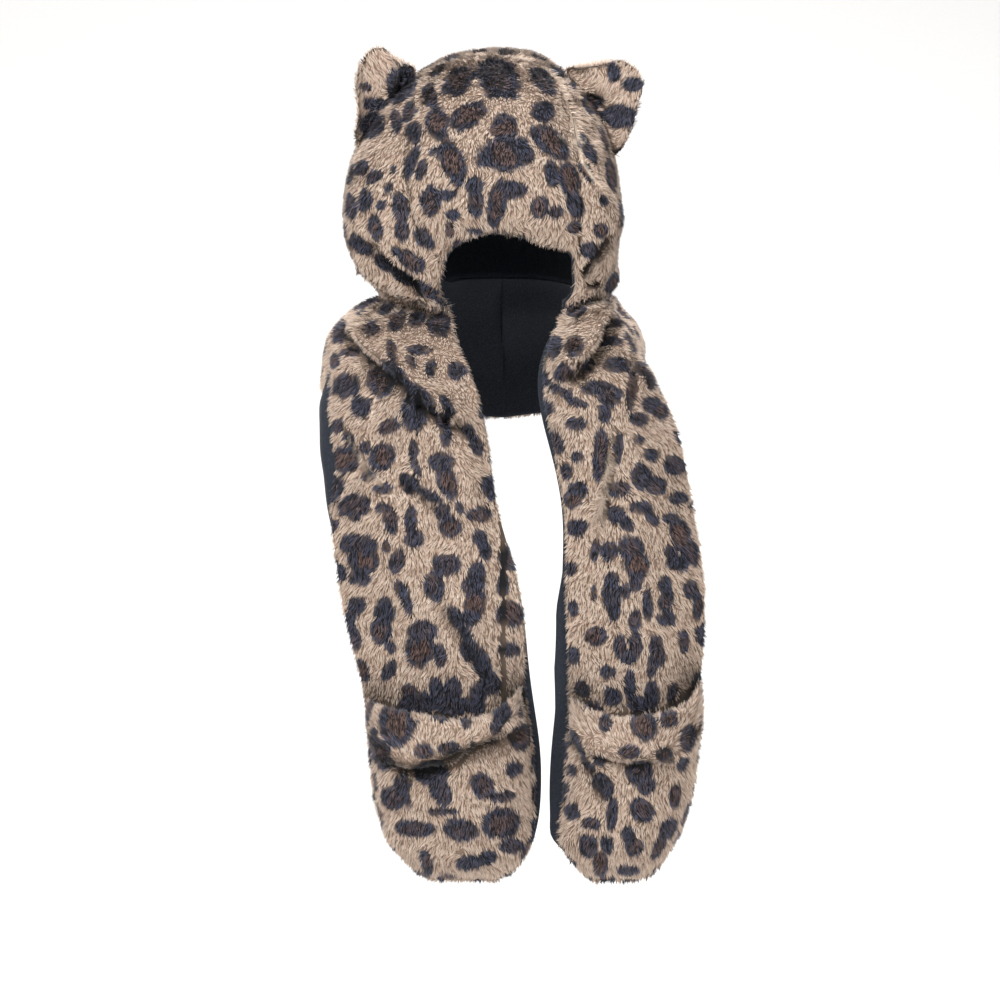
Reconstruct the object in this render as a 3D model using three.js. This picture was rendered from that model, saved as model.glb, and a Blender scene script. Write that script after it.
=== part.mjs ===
// A plush hood with two animal ears and a long scarf that ends in two hand pockets.
// The hood is three panels over a smooth lining. The scarf runs from the nape over both
// shoulders and hangs down the chest, with a plush face, a smooth back and a pocket at each end.
// Millimetres, +Z up. The wearer looks along -Y, so the wearer's left is +X.
// The origin is the inside top of the hood, where it sits on the head.

import * as THREE from 'three';

// Driving dimensions
const hoodHeight = 243; // inside top of the hood down to the corners beside the chin
const hoodHalfDepth = 122; // head centre to the forehead, and to the back of the head
const hoodRightWidth = 145; // head centre to the right cheek, where the hood sags wide
const hoodLeftWidth = 104; // head centre to the left cheek
const cornerRight = 50; // head centre to the right corner of the face opening
const cornerLeft = 58;
const cornerForward = 74; // head centre to those corners, towards the face
const shoulderHalfWidth = 172; // neck centre to the outer edge of the scarf on the shoulder
const chestDepth = 120; // neck centre to the scarf on the chest
const backDepth = 140; // neck centre to the scarf on the upper back
const scarfLength = 543; // corner of the face opening down to the end of the scarf
const plushWall = 10; // backing cloth and pile
const plushRim = 6; // the same at a sewn edge
const rimWidth = 20; // how far in from an edge the pile reaches its full height
const liningWall = 2;
const liningBorder = 7; // smooth cloth that shows past the plush on the scarf's edges
const seam = 0.6; // clearance between pieces that are sewn together
const earHeight = 52;
const earWall = 14;
const pocketPuff = 27; // how far the pocket's mouth stands open
const hemLength = 34; // the hem turned down in front of the pocket's mouth
const hemGap = 1; // between the hem and the pocket behind it

const plushColour = 0xb08a5e;
const liningColour = 0x1b1e26;

// The hood's front-to-back line over the head, a row for each arch that crosses it from
// corner to corner. forward: share of hoodHalfDepth. up: share of the hood's height above the
// corners. right, left: shares of the hood's widths. seamAt: where the panel seam crosses.
const hoodArches = [
  { at: 'face rim', forward: 0.93, up: 0.28, right: 0.4, left: 0.64, seamAt: 5.4 },
  { at: 'brow', forward: 0.99, up: 0.41, right: 0.66, left: 0.82, seamAt: 4.7 },
  { at: 'forehead', forward: 0.99, up: 0.6, right: 0.86, left: 0.93, seamAt: 4.1 },
  { at: 'hairline', forward: 0.87, up: 0.8, right: 0.95, left: 0.98, seamAt: 3.6 },
  { at: 'crown front', forward: 0.54, up: 0.95, right: 0.99, left: 1, seamAt: 3.0 },
  { at: 'crown', forward: 0, up: 1, right: 1, left: 1, seamAt: 2.6 },
  { at: 'crown back', forward: -0.52, up: 0.95, right: 0.98, left: 1, seamAt: 2.4 },
  { at: 'upper back', forward: -0.86, up: 0.78, right: 0.94, left: 0.99, seamAt: 2.2 },
  { at: 'back', forward: -1, up: 0.56, right: 0.88, left: 0.98, seamAt: 2.1 },
  { at: 'lower back', forward: -0.96, up: 0.335, right: 0.81, left: 0.94, seamAt: 2.0 },
  { at: 'neckline', forward: -0.82, up: 0.14, right: 0.74, left: 0.88, seamAt: 2.0 },
];

// The shape of every arch, from the crown line down to the corner. reach: share of the arch's
// height over the corners. spread: share of its half width, which ends at the corner itself.
const archProfile = [
  { reach: 1, spread: 0 },
  { reach: 0.995, spread: 0.2 },
  { reach: 0.975, spread: 0.38 },
  { reach: 0.93, spread: 0.54 },
  { reach: 0.85, spread: 0.7 },
  { reach: 0.74, spread: 0.84 },
  { reach: 0.6, spread: 0.95 },
  { reach: 0.42, spread: 1 },
  { reach: 0.27, spread: 0.98 },
  { reach: 0.14, spread: 0.86 },
  { reach: 0.05, spread: null },
];
const cornerAt = archProfile.length - 1;

// The scarf from the nape round to the corner of the face opening. neck: where its inner edge
// meets the hood's neckline, as a place in archProfile. right, left: the outer edge on that side,
// and roll: how far the middle bulges, as shares of shoulderHalfWidth, backDepth and scarfLength.
const collarRows = [
  { at: 'nape', neck: 0, right: [0, 1, -0.2], left: [0, 1, -0.2], roll: [0, 0.13, 0.01] },
  { at: 'blade', neck: 3, right: [0.44, 0.92, -0.19], left: [0.42, 0.9, -0.18], roll: [0.03, 0.11, 0.01] },
  { at: 'back', neck: 5.5, right: [0.79, 0.6, -0.16], left: [0.72, 0.58, -0.14], roll: [0.09, 0.09, 0.02] },
  { at: 'top', neck: 7.5, right: [0.97, 0.2, -0.13], left: [0.76, 0.2, -0.1], roll: [0.1, 0.02, 0.028] },
  { at: 'front', neck: 9, right: [1, -0.16, -0.13], left: [0.74, -0.16, -0.1], roll: [0.07, -0.06, 0.026] },
  { at: 'corner', neck: 10, right: [1, -0.42, -0.15], left: [0.76, -0.42, -0.11], roll: [0.02, -0.15, 0.03] },
];

// The hanging part of each side, down to its round end. Each pair is the inner edge and the
// outer edge. drop: how far below the corners, as a share of scarfLength. edge: how far from
// the middle, as a share of shoulderHalfWidth. deep: how far forward, as a share of chestDepth.
// crown: how far the middle bulges, the same way. border: how much of liningBorder shows.
const rightRows = [
  { drop: [0.05, 0.2], edge: [0.265, 0.945], deep: [0.8, 0.66], crown: 0.15, border: [0, 1] },
  { drop: [0.1, 0.24], edge: [0.19, 0.96], deep: [0.91, 0.7], crown: 0.13, border: [0, 1] },
  { drop: [0.16, 0.28], edge: [0.125, 0.955], deep: [0.97, 0.73], crown: 0.12, border: [0, 1] },
  { drop: [0.23, 0.32], edge: [0.08, 0.95], deep: [1, 0.76], crown: 0.12, border: [0, 0.8] },
  { drop: [0.3, 0.37], edge: [0.07, 0.94], deep: [1.02, 0.79], crown: 0.12, border: [0, 0.3] },
  { drop: [0.37, 0.42], edge: [0.015, 0.92], deep: [1.03, 0.82], crown: 0.11, border: [0, 0] },
  { drop: [0.44, 0.47], edge: [-0.06, 0.9], deep: [1.03, 0.84], crown: 0.11, border: [0, 0] },
  { drop: [0.51, 0.53], edge: [-0.1, 0.87], deep: [1.02, 0.86], crown: 0.1, border: [0, 0] },
  { drop: [0.58, 0.59], edge: [-0.12, 0.82], deep: [1.01, 0.87], crown: 0.09, border: [0.3, 0] },
  { drop: [0.65, 0.65], edge: [-0.1, 0.765], deep: [1, 0.88], crown: 0.08, border: [1, 0] },
  { drop: [0.715, 0.715], edge: [-0.145, 0.745], deep: [1, 0.89], crown: 0.08, border: [1, 0] },
  { drop: [0.785, 0.785], edge: [-0.17, 0.735], deep: [1, 0.9], crown: 0.08, border: [1, 0] },
  { drop: [0.85, 0.85], edge: [-0.165, 0.71], deep: [1, 0.91], crown: 0.08, border: [1, 0] },
  { drop: [0.9, 0.9], edge: [-0.17, 0.67], deep: [1, 0.92], crown: 0.07, border: [0.5, 0] },
  { drop: [0.94, 0.94], edge: [-0.15, 0.59], deep: [1, 0.93], crown: 0.06, border: [0, 0] },
  { drop: [0.97, 0.97], edge: [-0.07, 0.5], deep: [0.99, 0.94], crown: 0.05, border: [0, 0] },
  { drop: [0.992, 0.992], edge: [0.04, 0.4], deep: [0.98, 0.95], crown: 0.03, border: [0, 0] },
];
const leftRows = [
  { drop: [0.05, 0.14], edge: [0.245, 0.86], deep: [0.8, 0.66], crown: 0.16, border: [0, 0] },
  { drop: [0.1, 0.18], edge: [0.225, 0.92], deep: [0.91, 0.7], crown: 0.14, border: [1, 0] },
  { drop: [0.16, 0.23], edge: [0.23, 0.97], deep: [0.97, 0.73], crown: 0.12, border: [1, 0] },
  { drop: [0.23, 0.29], edge: [0.285, 1.01], deep: [1, 0.76], crown: 0.12, border: [0.7, 0] },
  { drop: [0.3, 0.355], edge: [0.325, 1.04], deep: [1.02, 0.79], crown: 0.12, border: [0.3, 0] },
  { drop: [0.37, 0.42], edge: [0.365, 1.08], deep: [1.03, 0.82], crown: 0.11, border: [0.5, 0] },
  { drop: [0.44, 0.47], edge: [0.35, 1.1], deep: [1.03, 0.84], crown: 0.11, border: [0.7, 0] },
  { drop: [0.51, 0.53], edge: [0.355, 1.11], deep: [1.02, 0.86], crown: 0.1, border: [0.5, 0] },
  { drop: [0.58, 0.59], edge: [0.37, 1.095], deep: [1.01, 0.87], crown: 0.09, border: [0.6, 0] },
  { drop: [0.65, 0.65], edge: [0.37, 1.08], deep: [1, 0.88], crown: 0.08, border: [0.9, 0] },
  { drop: [0.715, 0.715], edge: [0.36, 1.08], deep: [1, 0.89], crown: 0.08, border: [1.3, 0] },
  { drop: [0.785, 0.785], edge: [0.35, 1.075], deep: [1, 0.9], crown: 0.08, border: [1.6, 0] },
  { drop: [0.85, 0.85], edge: [0.345, 1.04], deep: [1, 0.91], crown: 0.08, border: [1.6, 0] },
  { drop: [0.9, 0.9], edge: [0.33, 0.99], deep: [1, 0.92], crown: 0.07, border: [0.8, 0] },
  { drop: [0.94, 0.94], edge: [0.35, 0.93], deep: [1, 0.93], crown: 0.06, border: [0, 0] },
  { drop: [0.97, 0.97], edge: [0.42, 0.85], deep: [0.99, 0.94], crown: 0.05, border: [0, 0] },
  { drop: [0.992, 0.992], edge: [0.51, 0.74], deep: [0.98, 0.95], crown: 0.03, border: [0, 0] },
];

// Folds in the hanging cloth, a row for each ridge. drop and across run from one end of the
// ridge to the other, as shares of scarfLength and of the scarf's width. height and width are
// shares of the scarf's width there.
const rightFolds = [
  { drop: [0.03, 0.34], across: [0.5, 0.1], height: 0.1, width: 0.22 },
  { drop: [0.2, 0.5], across: [0.75, 0.55], height: 0.05, width: 0.2 },
  { drop: [0.42, 0.66], across: [0.25, 0.4], height: 0.06, width: 0.16 },
];
const leftFolds = [
  { drop: [0, 0.2], across: [0.3, 0.12], height: 0.12, width: 0.22 },
  { drop: [0.1, 0.4], across: [0.6, 0.42], height: 0.07, width: 0.18 },
  { drop: [0.45, 0.66], across: [0.5, 0.72], height: 0.06, width: 0.16 },
];

// Creases in the hood's cheeks, seen from the front. across: from one end to the other, as
// shares of the hood's width on that side. down: shares of hoodHeight below the crown. depth
// and width: shares of hoodHeight.
const cheekCreases = [
  { side: -1, across: [0.93, 0.4], down: [0.76, 0.97], depth: 0.04, width: 0.055 },
  { side: 1, across: [1.1, 0.6], down: [0.93, 1], depth: 0.03, width: 0.05 },
];

// The pockets. mouth: the top edge, as shares of scarfLength below the corners. hem: how far it
// turns down, as shares of hemLength. Both are read from the inner edge to the outer one.
const rightPocket = {
  mouth: [0.663, 0.7, 0.712, 0.71, 0.7, 0.69],
  hem: [0.35, 0.7, 0.9, 1.1, 1.4, 0.85],
};
const leftPocket = {
  mouth: [0.68, 0.705, 0.715, 0.705, 0.685, 0.655],
  hem: [0.7, 0.78, 0.9, 1.05, 1.2, 1.25],
};

// The ears stand across the hood, just outside the panel seams. arch: the arch they stand on.
// base: the ends of the foot, as places in archProfile. lean: the way the ear points. rise:
// its height from the end by the seam to the outer end, as shares of earHeight. cup: how far
// its ends curl towards the face, as a share of earHeight.
const rightEar = {
  arch: 4.35, base: [3.05, 5.65], lean: [0.16, -0.1, 0.98], rise: [0.28, 0.62, 0.9, 1, 0.98, 0.8], cup: 0.3,
};
const leftEar = {
  arch: 4.5, base: [2.95, 5.9], lean: [0.78, 0, 0.62], rise: [0.15, 0.68, 0.92, 1, 0.93, 0.5], cup: 0.25,
};

const smooth = (low, high, value) => THREE.MathUtils.smoothstep(value, low, high);
const mix = THREE.MathUtils.lerp;
const vector = (x = 0, y = 0, z = 0) => new THREE.Vector3(x, y, z);

// A smooth curve through the rows of a table, read by row number with fractions.
function through(rows, pick) {
  const curve = new THREE.CatmullRomCurve3(rows.map(pick), false, 'catmullrom', 0.5);
  return (row) => curve.getPoint(THREE.MathUtils.clamp(row / (rows.length - 1), 0, 1));
}

// One closed sheet from a grid of (row, column) places. place(row, column, outer) gives a
// corner of its outer or inner face, and a rim joins the two faces all round.
function closedSheet(rows, columns, place) {
  const lastRow = rows.length - 1;
  const lastColumn = columns.length - 1;
  const at = (i, j, outer) => (outer ? rows.length * columns.length : 0) + i * columns.length + j;
  const positions = [];
  for (const outer of [false, true]) {
    for (const row of rows) {
      for (const column of columns) positions.push(...place(row, column, outer).toArray());
    }
  }
  const faces = [];
  const quad = (a, b, c, d) => faces.push(a, b, c, a, c, d);
  for (let i = 0; i < lastRow; i++) {
    for (let j = 0; j < lastColumn; j++) {
      quad(at(i, j, true), at(i, j + 1, true), at(i + 1, j + 1, true), at(i + 1, j, true));
      quad(at(i, j, false), at(i + 1, j, false), at(i + 1, j + 1, false), at(i, j + 1, false));
    }
  }
  const rim = [
    ...columns.map((_, j) => [0, j]),
    ...rows.slice(1).map((_, i) => [i + 1, lastColumn]),
    ...columns.slice(1).map((_, j) => [lastRow, lastColumn - 1 - j]),
    ...rows.slice(2).map((_, i) => [lastRow - 1 - i, 0]),
  ];
  rim.forEach((a, k) => {
    const b = rim[(k + 1) % rim.length];
    quad(at(...a, true), at(...a, false), at(...b, false), at(...b, true));
  });
  const geometry = new THREE.BufferGeometry();
  geometry.setAttribute('position', new THREE.Float32BufferAttribute(positions, 3));
  geometry.setIndex(signedVolume(positions, faces) < 0 ? faces.reverse() : faces);
  geometry.computeVertexNormals();
  return geometry;
}

function signedVolume(positions, faces) {
  const corner = (k) => vector(...positions.slice(3 * faces[k], 3 * faces[k] + 3));
  let six = 0;
  for (let k = 0; k < faces.length; k += 3) six += corner(k).dot(corner(k + 1).cross(corner(k + 2)));
  return six;
}

// Evenly spaced numbers from first to last.
function steps(first, last, count) {
  return Array.from({ length: count + 1 }, (_, k) => mix(first, last, k / count));
}

// The hood. Its surface is where lining and plush meet, as (arch row, place in archProfile),
// with places below zero on the wearer's right.
const lastArch = hoodArches.length - 1;
const crownTop = liningWall + seam / 2;
const crownLine = through(hoodArches, (arch) =>
  vector(0, -arch.forward * hoodHalfDepth, -hoodHeight + arch.up * (hoodHeight + crownTop)));
const archWidths = through(hoodArches, (arch) =>
  vector(arch.right * hoodRightWidth, arch.left * hoodLeftWidth, arch.seamAt));
const headCentre = vector((hoodLeftWidth - hoodRightWidth) / 4, 0, -0.42 * hoodHeight);

// Out from the head: level below its widest part, and round over the crown.
function outward(point) {
  const away = point.clone().sub(headCentre);
  return vector(away.x, away.y, Math.max(0, away.z) * 1.3).normalize();
}

function smoothHood(arch, place) {
  const onRight = place < 0;
  const corner = onRight ? cornerRight : cornerLeft;
  const centre = crownLine(arch);
  const widths = archWidths(arch);
  const halfWidth = onRight ? widths.x : widths.y;
  const profile = through(archProfile, (row) =>
    vector(row.spread === null ? corner : row.spread * halfWidth, row.reach, 0))(Math.abs(place));
  return vector(
    onRight ? -profile.x : profile.x,
    mix(-cornerForward, centre.y, profile.y),
    mix(-hoodHeight, centre.z, profile.y),
  );
}

// How deep the cheek creases are at a point, which they follow on the front half only.
function creaseDepth(point) {
  const onFront = smooth(0, -0.5 * hoodHalfDepth, point.y);
  let depth = 0;
  for (const crease of cheekCreases) {
    const width = crease.side < 0 ? hoodRightWidth : hoodLeftWidth;
    const end = (k) => vector(crease.side * crease.across[k] * width, 0, -crease.down[k] * hoodHeight);
    const flat = point.clone().setY(0);
    const nearest = new THREE.Line3(end(0), end(1)).closestPointToPoint(flat, true, vector());
    const beside = nearest.distanceTo(flat) / (crease.width * hoodHeight);
    depth += crease.depth * hoodHeight * Math.exp(-beside * beside) * onFront;
  }
  return depth;
}

function hoodPlace(arch, place, height) {
  const point = smoothHood(arch, place);
  return point.addScaledVector(outward(point), height - creaseDepth(point));
}

// Pile stands lower near an edge, where the cloth is sewn or hemmed.
function plushHeight(fromEdge) {
  return mix(plushRim, plushWall, smooth(0, rimWidth, fromEdge));
}

// The hood's columns across an arch: each panel's own places, short of the seam by a hair.
const archSteps = steps(0, lastArch, 22);
const seamPlay = 0.02;
const sideColumns = steps(0, 1, 8);
const centreColumns = steps(-1, 1, 8);
const sidePlace = (arch, share, side) => side * mix(archWidths(arch).z + seamPlay, cornerAt, share);
const centrePlace = (arch, share) => share * (archWidths(arch).z - seamPlay);

function fromHoodRim(arch) {
  return Math.min(crownLine(arch).distanceTo(crownLine(0)), crownLine(arch).distanceTo(crownLine(lastArch)));
}

function centrePanel() {
  return closedSheet(archSteps, centreColumns, (arch, share, outer) => {
    const place = centrePlace(arch, share);
    const seamSide = hoodPlace(arch, centrePlace(arch, Math.sign(share) || 1), 0);
    const fromEdge = Math.min(fromHoodRim(arch), seamSide.distanceTo(hoodPlace(arch, place, 0)));
    return hoodPlace(arch, place, outer ? plushHeight(fromEdge) : seam / 2);
  });
}

function sidePanel(side) {
  const columns = side < 0 ? sideColumns.toReversed() : sideColumns;
  return closedSheet(archSteps, columns, (arch, share, outer) => {
    const place = sidePlace(arch, share, side);
    const point = hoodPlace(arch, place, 0);
    const fromSeam = point.distanceTo(hoodPlace(arch, sidePlace(arch, 0, side), 0));
    const fromCorner = point.distanceTo(hoodPlace(arch, sidePlace(arch, 1, side), 0));
    const fromEdge = Math.min(fromHoodRim(arch), fromSeam, fromCorner);
    return hoodPlace(arch, place, outer ? plushHeight(fromEdge) : seam / 2);
  });
}

// The lining takes the panels' own columns, in the same order, so that it lies parallel to them.
function hoodLining() {
  const columns = [
    ...sideColumns.toReversed().map((share) => (arch) => sidePlace(arch, share, -1)),
    ...centreColumns.map((share) => (arch) => centrePlace(arch, share)),
    ...sideColumns.map((share) => (arch) => sidePlace(arch, share, 1)),
  ];
  return closedSheet(archSteps, columns, (arch, column, outer) =>
    hoodPlace(arch, column(arch), -seam / 2 - (outer ? 0 : liningWall)));
}

// The scarf. One side is read as (row, share across), from the nape to the round end, and from
// the edge beside the neck to the outer edge.
const collarEnd = collarRows.length - 1;

function neckPlace(row) {
  const k = Math.min(Math.floor(row), collarEnd - 1);
  return mix(collarRows[k].neck, collarRows[k + 1].neck, row - k);
}

// The row that meets a given place on the hood's neckline.
function rowAtNeck(place) {
  const k = collarRows.findLastIndex((row) => row.neck <= place);
  if (k >= collarEnd) return collarEnd;
  return k + (place - collarRows[k].neck) / (collarRows[k + 1].neck - collarRows[k].neck);
}

function neckEdge(side, row) {
  const edge = hoodPlace(lastArch, side * neckPlace(Math.min(row, collarEnd)), 0);
  return edge.setZ(edge.z - seam);
}

function scarfSide(side, rows, folds) {
  const outX = side * shoulderHalfWidth;
  const collar = collarRows.map((row, k) => {
    const out = side < 0 ? row.right : row.left;
    return {
      inner: neckEdge(side, k),
      outer: vector(out[0] * outX, out[1] * backDepth, -hoodHeight + out[2] * scarfLength),
      roll: vector(row.roll[0] * outX, row.roll[1] * backDepth, row.roll[2] * scarfLength),
      drop: 0,
      border: [0, 0],
    };
  });
  const hangingEdge = (row, k) =>
    vector(row.edge[k] * outX, -row.deep[k] * chestDepth, -hoodHeight - row.drop[k] * scarfLength);
  const hanging = rows.map((row) => ({
    inner: hangingEdge(row, 0),
    outer: hangingEdge(row, 1),
    roll: vector(0, -row.crown * chestDepth, 0),
    drop: row.drop[0],
    border: row.border,
  }));
  const stations = [...collar, ...hanging];
  const hangingInner = through(stations.slice(collarEnd), (station) => station.inner);
  return {
    side,
    folds,
    last: stations.length - 1,
    inner: (row) => (row <= collarEnd ? neckEdge(side, row) : hangingInner(row - collarEnd)),
    outer: through(stations, (station) => station.outer),
    roll: through(stations, (station) => station.roll),
    drop: (row) => through(stations, (station) => vector(station.drop))(row).x,
    border: through(stations, (station) => vector(...station.border)),
  };
}

const rightSide = scarfSide(-1, rightRows, rightFolds);
const leftSide = scarfSide(1, leftRows, leftFolds);

// How far the folds lift the cloth, as a share of its width.
function foldLift(folds, drop, across) {
  let lift = 0;
  for (const fold of folds) {
    const along = (drop - fold.drop[0]) / (fold.drop[1] - fold.drop[0]);
    const ridge = mix(fold.across[0], fold.across[1], THREE.MathUtils.clamp(along, 0, 1));
    const beside = (across - ridge) / fold.width;
    const fade = smooth(-0.25, 0.15, along) * (1 - smooth(0.85, 1.25, along));
    lift += fold.height * fade * Math.exp(-2 * beside * beside);
  }
  return lift;
}

function scarfMiddle(scarf, row, across) {
  const inner = scarf.inner(row);
  const outer = scarf.outer(row);
  const bow = Math.sin(Math.PI * across);
  const point = inner.clone().lerp(outer, across).addScaledVector(scarf.roll(row), bow);
  const inFromEdge = smooth(0, 0.2, Math.min(across, 1 - across));
  const lift = foldLift(scarf.folds, scarf.drop(row), across) * inFromEdge * inner.distanceTo(outer);
  return point.add(vector(0, -lift, 0));
}

function scarfTangent(scarf, row, across) {
  return scarfMiddle(scarf, row, across + 0.01).sub(scarfMiddle(scarf, row, across - 0.01)).normalize();
}

// Out from the body, square to the cloth, but level along the neck seam, as the hood's wall is.
function scarfNormal(scarf, row, across) {
  const near = 0.02;
  const a = THREE.MathUtils.clamp(across, near, 1 - near);
  const r = THREE.MathUtils.clamp(row, near, scarf.last - near);
  const alongRow = scarfMiddle(scarf, r + near, a).sub(scarfMiddle(scarf, r - near, a));
  const acrossRow = scarfMiddle(scarf, r, a + near).sub(scarfMiddle(scarf, r, a - near));
  const normal = alongRow.cross(acrossRow).multiplyScalar(scarf.side).normalize();
  const atNeck = (1 - smooth(0, 0.18, across)) * (1 - smooth(collarEnd, collarEnd + 1, row));
  return normal.lerp(outward(scarf.inner(row)), atNeck).normalize();
}

function scarfPlace(scarf, row, across, height) {
  return scarfMiddle(scarf, row, across).addScaledVector(scarfNormal(scarf, row, across), height);
}

// The height of the scarf's own pile, which is lower along its edges and its end.
function scarfPile(scarf, row, across) {
  const edge = scarf.inner(row).distanceTo(scarf.outer(row)) * Math.min(across, 1 - across);
  const end = scarf.outer(row).distanceTo(scarf.outer(scarf.last));
  return plushHeight(Math.min(edge, end));
}

// Along the neck the scarf's rows meet the columns of the hood. Its columns are closer at the edges.
const neckRows = [
  ...centreColumns.filter((share) => share >= 0).map((share) => rowAtNeck(centrePlace(lastArch, share))),
  ...sideColumns.slice(1).map((share) => rowAtNeck(sidePlace(lastArch, share, 1))),
];
const scarfColumns = [0, 0.06, 0.16, 0.28, 0.42, 0.58, 0.72, 0.84, 0.94, 1];
const scarfRows = (scarf) => [...neckRows, ...steps(collarEnd, scarf.last, 16).slice(1)];

// At the nape the two sides stop short of each other.
function stopAtNape(point, scarf, row) {
  return row === 0 ? point.setX(scarf.side * seam / 2) : point;
}

function scarfPlush(scarf) {
  return closedSheet(scarfRows(scarf), scarfColumns, (row, across, outer) => {
    const height = outer ? scarfPile(scarf, row, across) : seam / 2;
    return stopAtNape(scarfPlace(scarf, row, across, height), scarf, row);
  });
}

function scarfLining(scarf) {
  return closedSheet(scarfRows(scarf), scarfColumns, (row, across, outer) => {
    const point = scarfPlace(scarf, row, across, -seam / 2 - (outer ? 0 : liningWall));
    const pastEdge = Math.max(0, across < 0.5 ? scarf.border(row).x : scarf.border(row).y) * liningBorder;
    if (across === 0) point.addScaledVector(scarfTangent(scarf, row, 0.02), -pastEdge);
    if (across === 1) point.addScaledVector(scarfTangent(scarf, row, 0.98), pastEdge);
    return stopAtNape(point, scarf, row);
  });
}

// The row at a given drop below the corners.
function rowAtDrop(scarf, drop) {
  let low = collarEnd;
  let high = scarf.last;
  for (let k = 0; k < 30; k++) {
    const middle = (low + high) / 2;
    if (scarf.drop(middle) < drop) low = middle;
    else high = middle;
  }
  return low;
}

// A pocket: a panel over the scarf's end, open at the top, with its hem turned down in front.
// step.panel runs from its lower end to the mouth, step.turn round the bend, step.hem down.
const pocketLift = 0.6; // rows from the scarf's last row up to the pocket's lower end
const pocketInset = 0.03; // the side seam, as a share of the scarf's width in from its edge

function pocket(scarf, shape) {
  const mouthAt = through(shape.mouth, (drop) => vector(drop));
  const hemAt = through(shape.hem, (share) => vector(share * hemLength));
  const sideSteps = shape.mouth.length - 1;
  const rows = [
    ...steps(0, 1, 8).map((panel) => ({ panel, turn: 0, hem: 0 })),
    ...[35, 75, 115, 155].map((degrees) => ({ panel: 1, turn: THREE.MathUtils.degToRad(degrees), hem: 0 })),
    ...[0.4, 1].map((hem) => ({ panel: 1, turn: Math.PI, hem })),
  ];
  return closedSheet(rows, scarfColumns, (step, column, outer) => {
    const across = mix(pocketInset, 1 - pocketInset, column);
    const mouthRow = rowAtDrop(scarf, mouthAt(column * sideSteps).x);
    const row = mix(scarf.last - pocketLift, mouthRow, step.panel);
    const bow = Math.pow(4 * column * (1 - column), 0.7);
    const open = Math.sqrt(1 - Math.pow(1 - step.panel, 1.6));
    const inside = scarfPile(scarf, row, across) + 2 * seam + pocketPuff * bow * open;
    const wall = plushRim + (plushWall - plushRim) * bow * open;
    const normal = scarfNormal(scarf, row, across);
    const up = vector(0, 0, 1).addScaledVector(normal, -normal.z).normalize();
    const bendRadius = outer ? hemGap / 2 : hemGap / 2 + wall;
    const height = inside + wall + hemGap / 2 - bendRadius * Math.cos(step.turn);
    const rise = bendRadius * Math.sin(step.turn) - step.hem * hemAt(column * sideSteps).x;
    return scarfPlace(scarf, row, across, height).addScaledVector(up, rise);
  });
}

// An ear: two faces that stand on the hood, a wall apart, and close together at the top.
function ear(side, shape) {
  const pointing = vector(side * shape.lean[0], shape.lean[1], shape.lean[2]).normalize();
  const riseAt = through(shape.rise, (share) => vector(share * earHeight));
  const archPitch = crownLine(shape.arch).distanceTo(crownLine(shape.arch + 1));
  const upSteps = [0, 0.12, 0.3, 0.48, 0.66, 0.82, 0.93, 1];
  return closedSheet(upSteps, steps(0, 1, 9), (up, share, front) => {
    const towardsBack = (front ? -0.5 : 0.5) * earWall;
    const foot = (along) => hoodPlace(shape.arch + towardsBack / archPitch, side * mix(...shape.base, along),
      plushWall + seam);
    const narrowed = mix(share, 0.5, 0.25 * up * up);
    const point = foot(narrowed).addScaledVector(pointing, up * riseAt(share * (shape.rise.length - 1)).x);
    const ends = 2 * share - 1;
    point.y -= shape.cup * earHeight * up * ends * ends;
    point.y -= towardsBack * 0.6 * Math.pow(up, 4);
    return point;
  });
}

// The finished group
const plush = new THREE.MeshStandardMaterial({ color: plushColour, roughness: 0.95, metalness: 0 });
const smoothCloth = new THREE.MeshStandardMaterial({ color: liningColour, roughness: 0.85, metalness: 0 });
const hoodScarf = new THREE.Group();

function add(name, geometry, material) {
  const mesh = new THREE.Mesh(geometry, material);
  mesh.name = name;
  hoodScarf.add(mesh);
}

add('hood_centre_panel', centrePanel(), plush);
add('hood_side_right', sidePanel(-1), plush);
add('hood_side_left', sidePanel(1), plush);
add('hood_lining', hoodLining(), smoothCloth);
add('ear_right', ear(-1, rightEar), plush);
add('ear_left', ear(1, leftEar), plush);
add('scarf_right', scarfPlush(rightSide), plush);
add('scarf_left', scarfPlush(leftSide), plush);
add('scarf_lining_right', scarfLining(rightSide), smoothCloth);
add('scarf_lining_left', scarfLining(leftSide), smoothCloth);
add('pocket_right', pocket(rightSide, rightPocket), plush);
add('pocket_left', pocket(leftSide, leftPocket), plush);

export default hoodScarf;
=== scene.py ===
"""The looks of a plush hood with animal ears and a long scarf with hand pockets.

Each cloth piece is made from its CAD node: smoothed, creased and drawn in a little, so that the
pile that is planted on it ends where the CAD wall does. The print is a leopard pattern. Its
larger spots on the front follow a short chart, and the rest are scattered with fixed seeds.
Some of the charted dark spots are painted shade, in creases, hollows and the pockets' mouths,
and the creases, the pile's roots and the scarf behind the pockets' mouths carry painted shade too.
Metres, +Z up, the wearer looks along -Y.
"""

import itertools
import math

import bmesh
import bpy
import numpy as np
from mathutils import Matrix, Vector
from mathutils.bvhtree import BVHTree


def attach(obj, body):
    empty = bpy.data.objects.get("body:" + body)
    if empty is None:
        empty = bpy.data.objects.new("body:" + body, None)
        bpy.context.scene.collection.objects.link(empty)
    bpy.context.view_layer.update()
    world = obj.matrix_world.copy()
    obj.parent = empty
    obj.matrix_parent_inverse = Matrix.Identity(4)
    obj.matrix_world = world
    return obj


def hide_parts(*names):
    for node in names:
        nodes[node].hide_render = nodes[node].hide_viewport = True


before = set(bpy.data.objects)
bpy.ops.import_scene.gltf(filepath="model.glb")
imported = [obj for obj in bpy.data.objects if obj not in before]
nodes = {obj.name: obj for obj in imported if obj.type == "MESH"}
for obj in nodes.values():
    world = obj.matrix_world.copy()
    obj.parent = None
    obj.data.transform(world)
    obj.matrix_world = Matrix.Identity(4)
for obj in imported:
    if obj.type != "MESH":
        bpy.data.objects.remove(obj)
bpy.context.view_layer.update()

MM = 0.001

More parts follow.
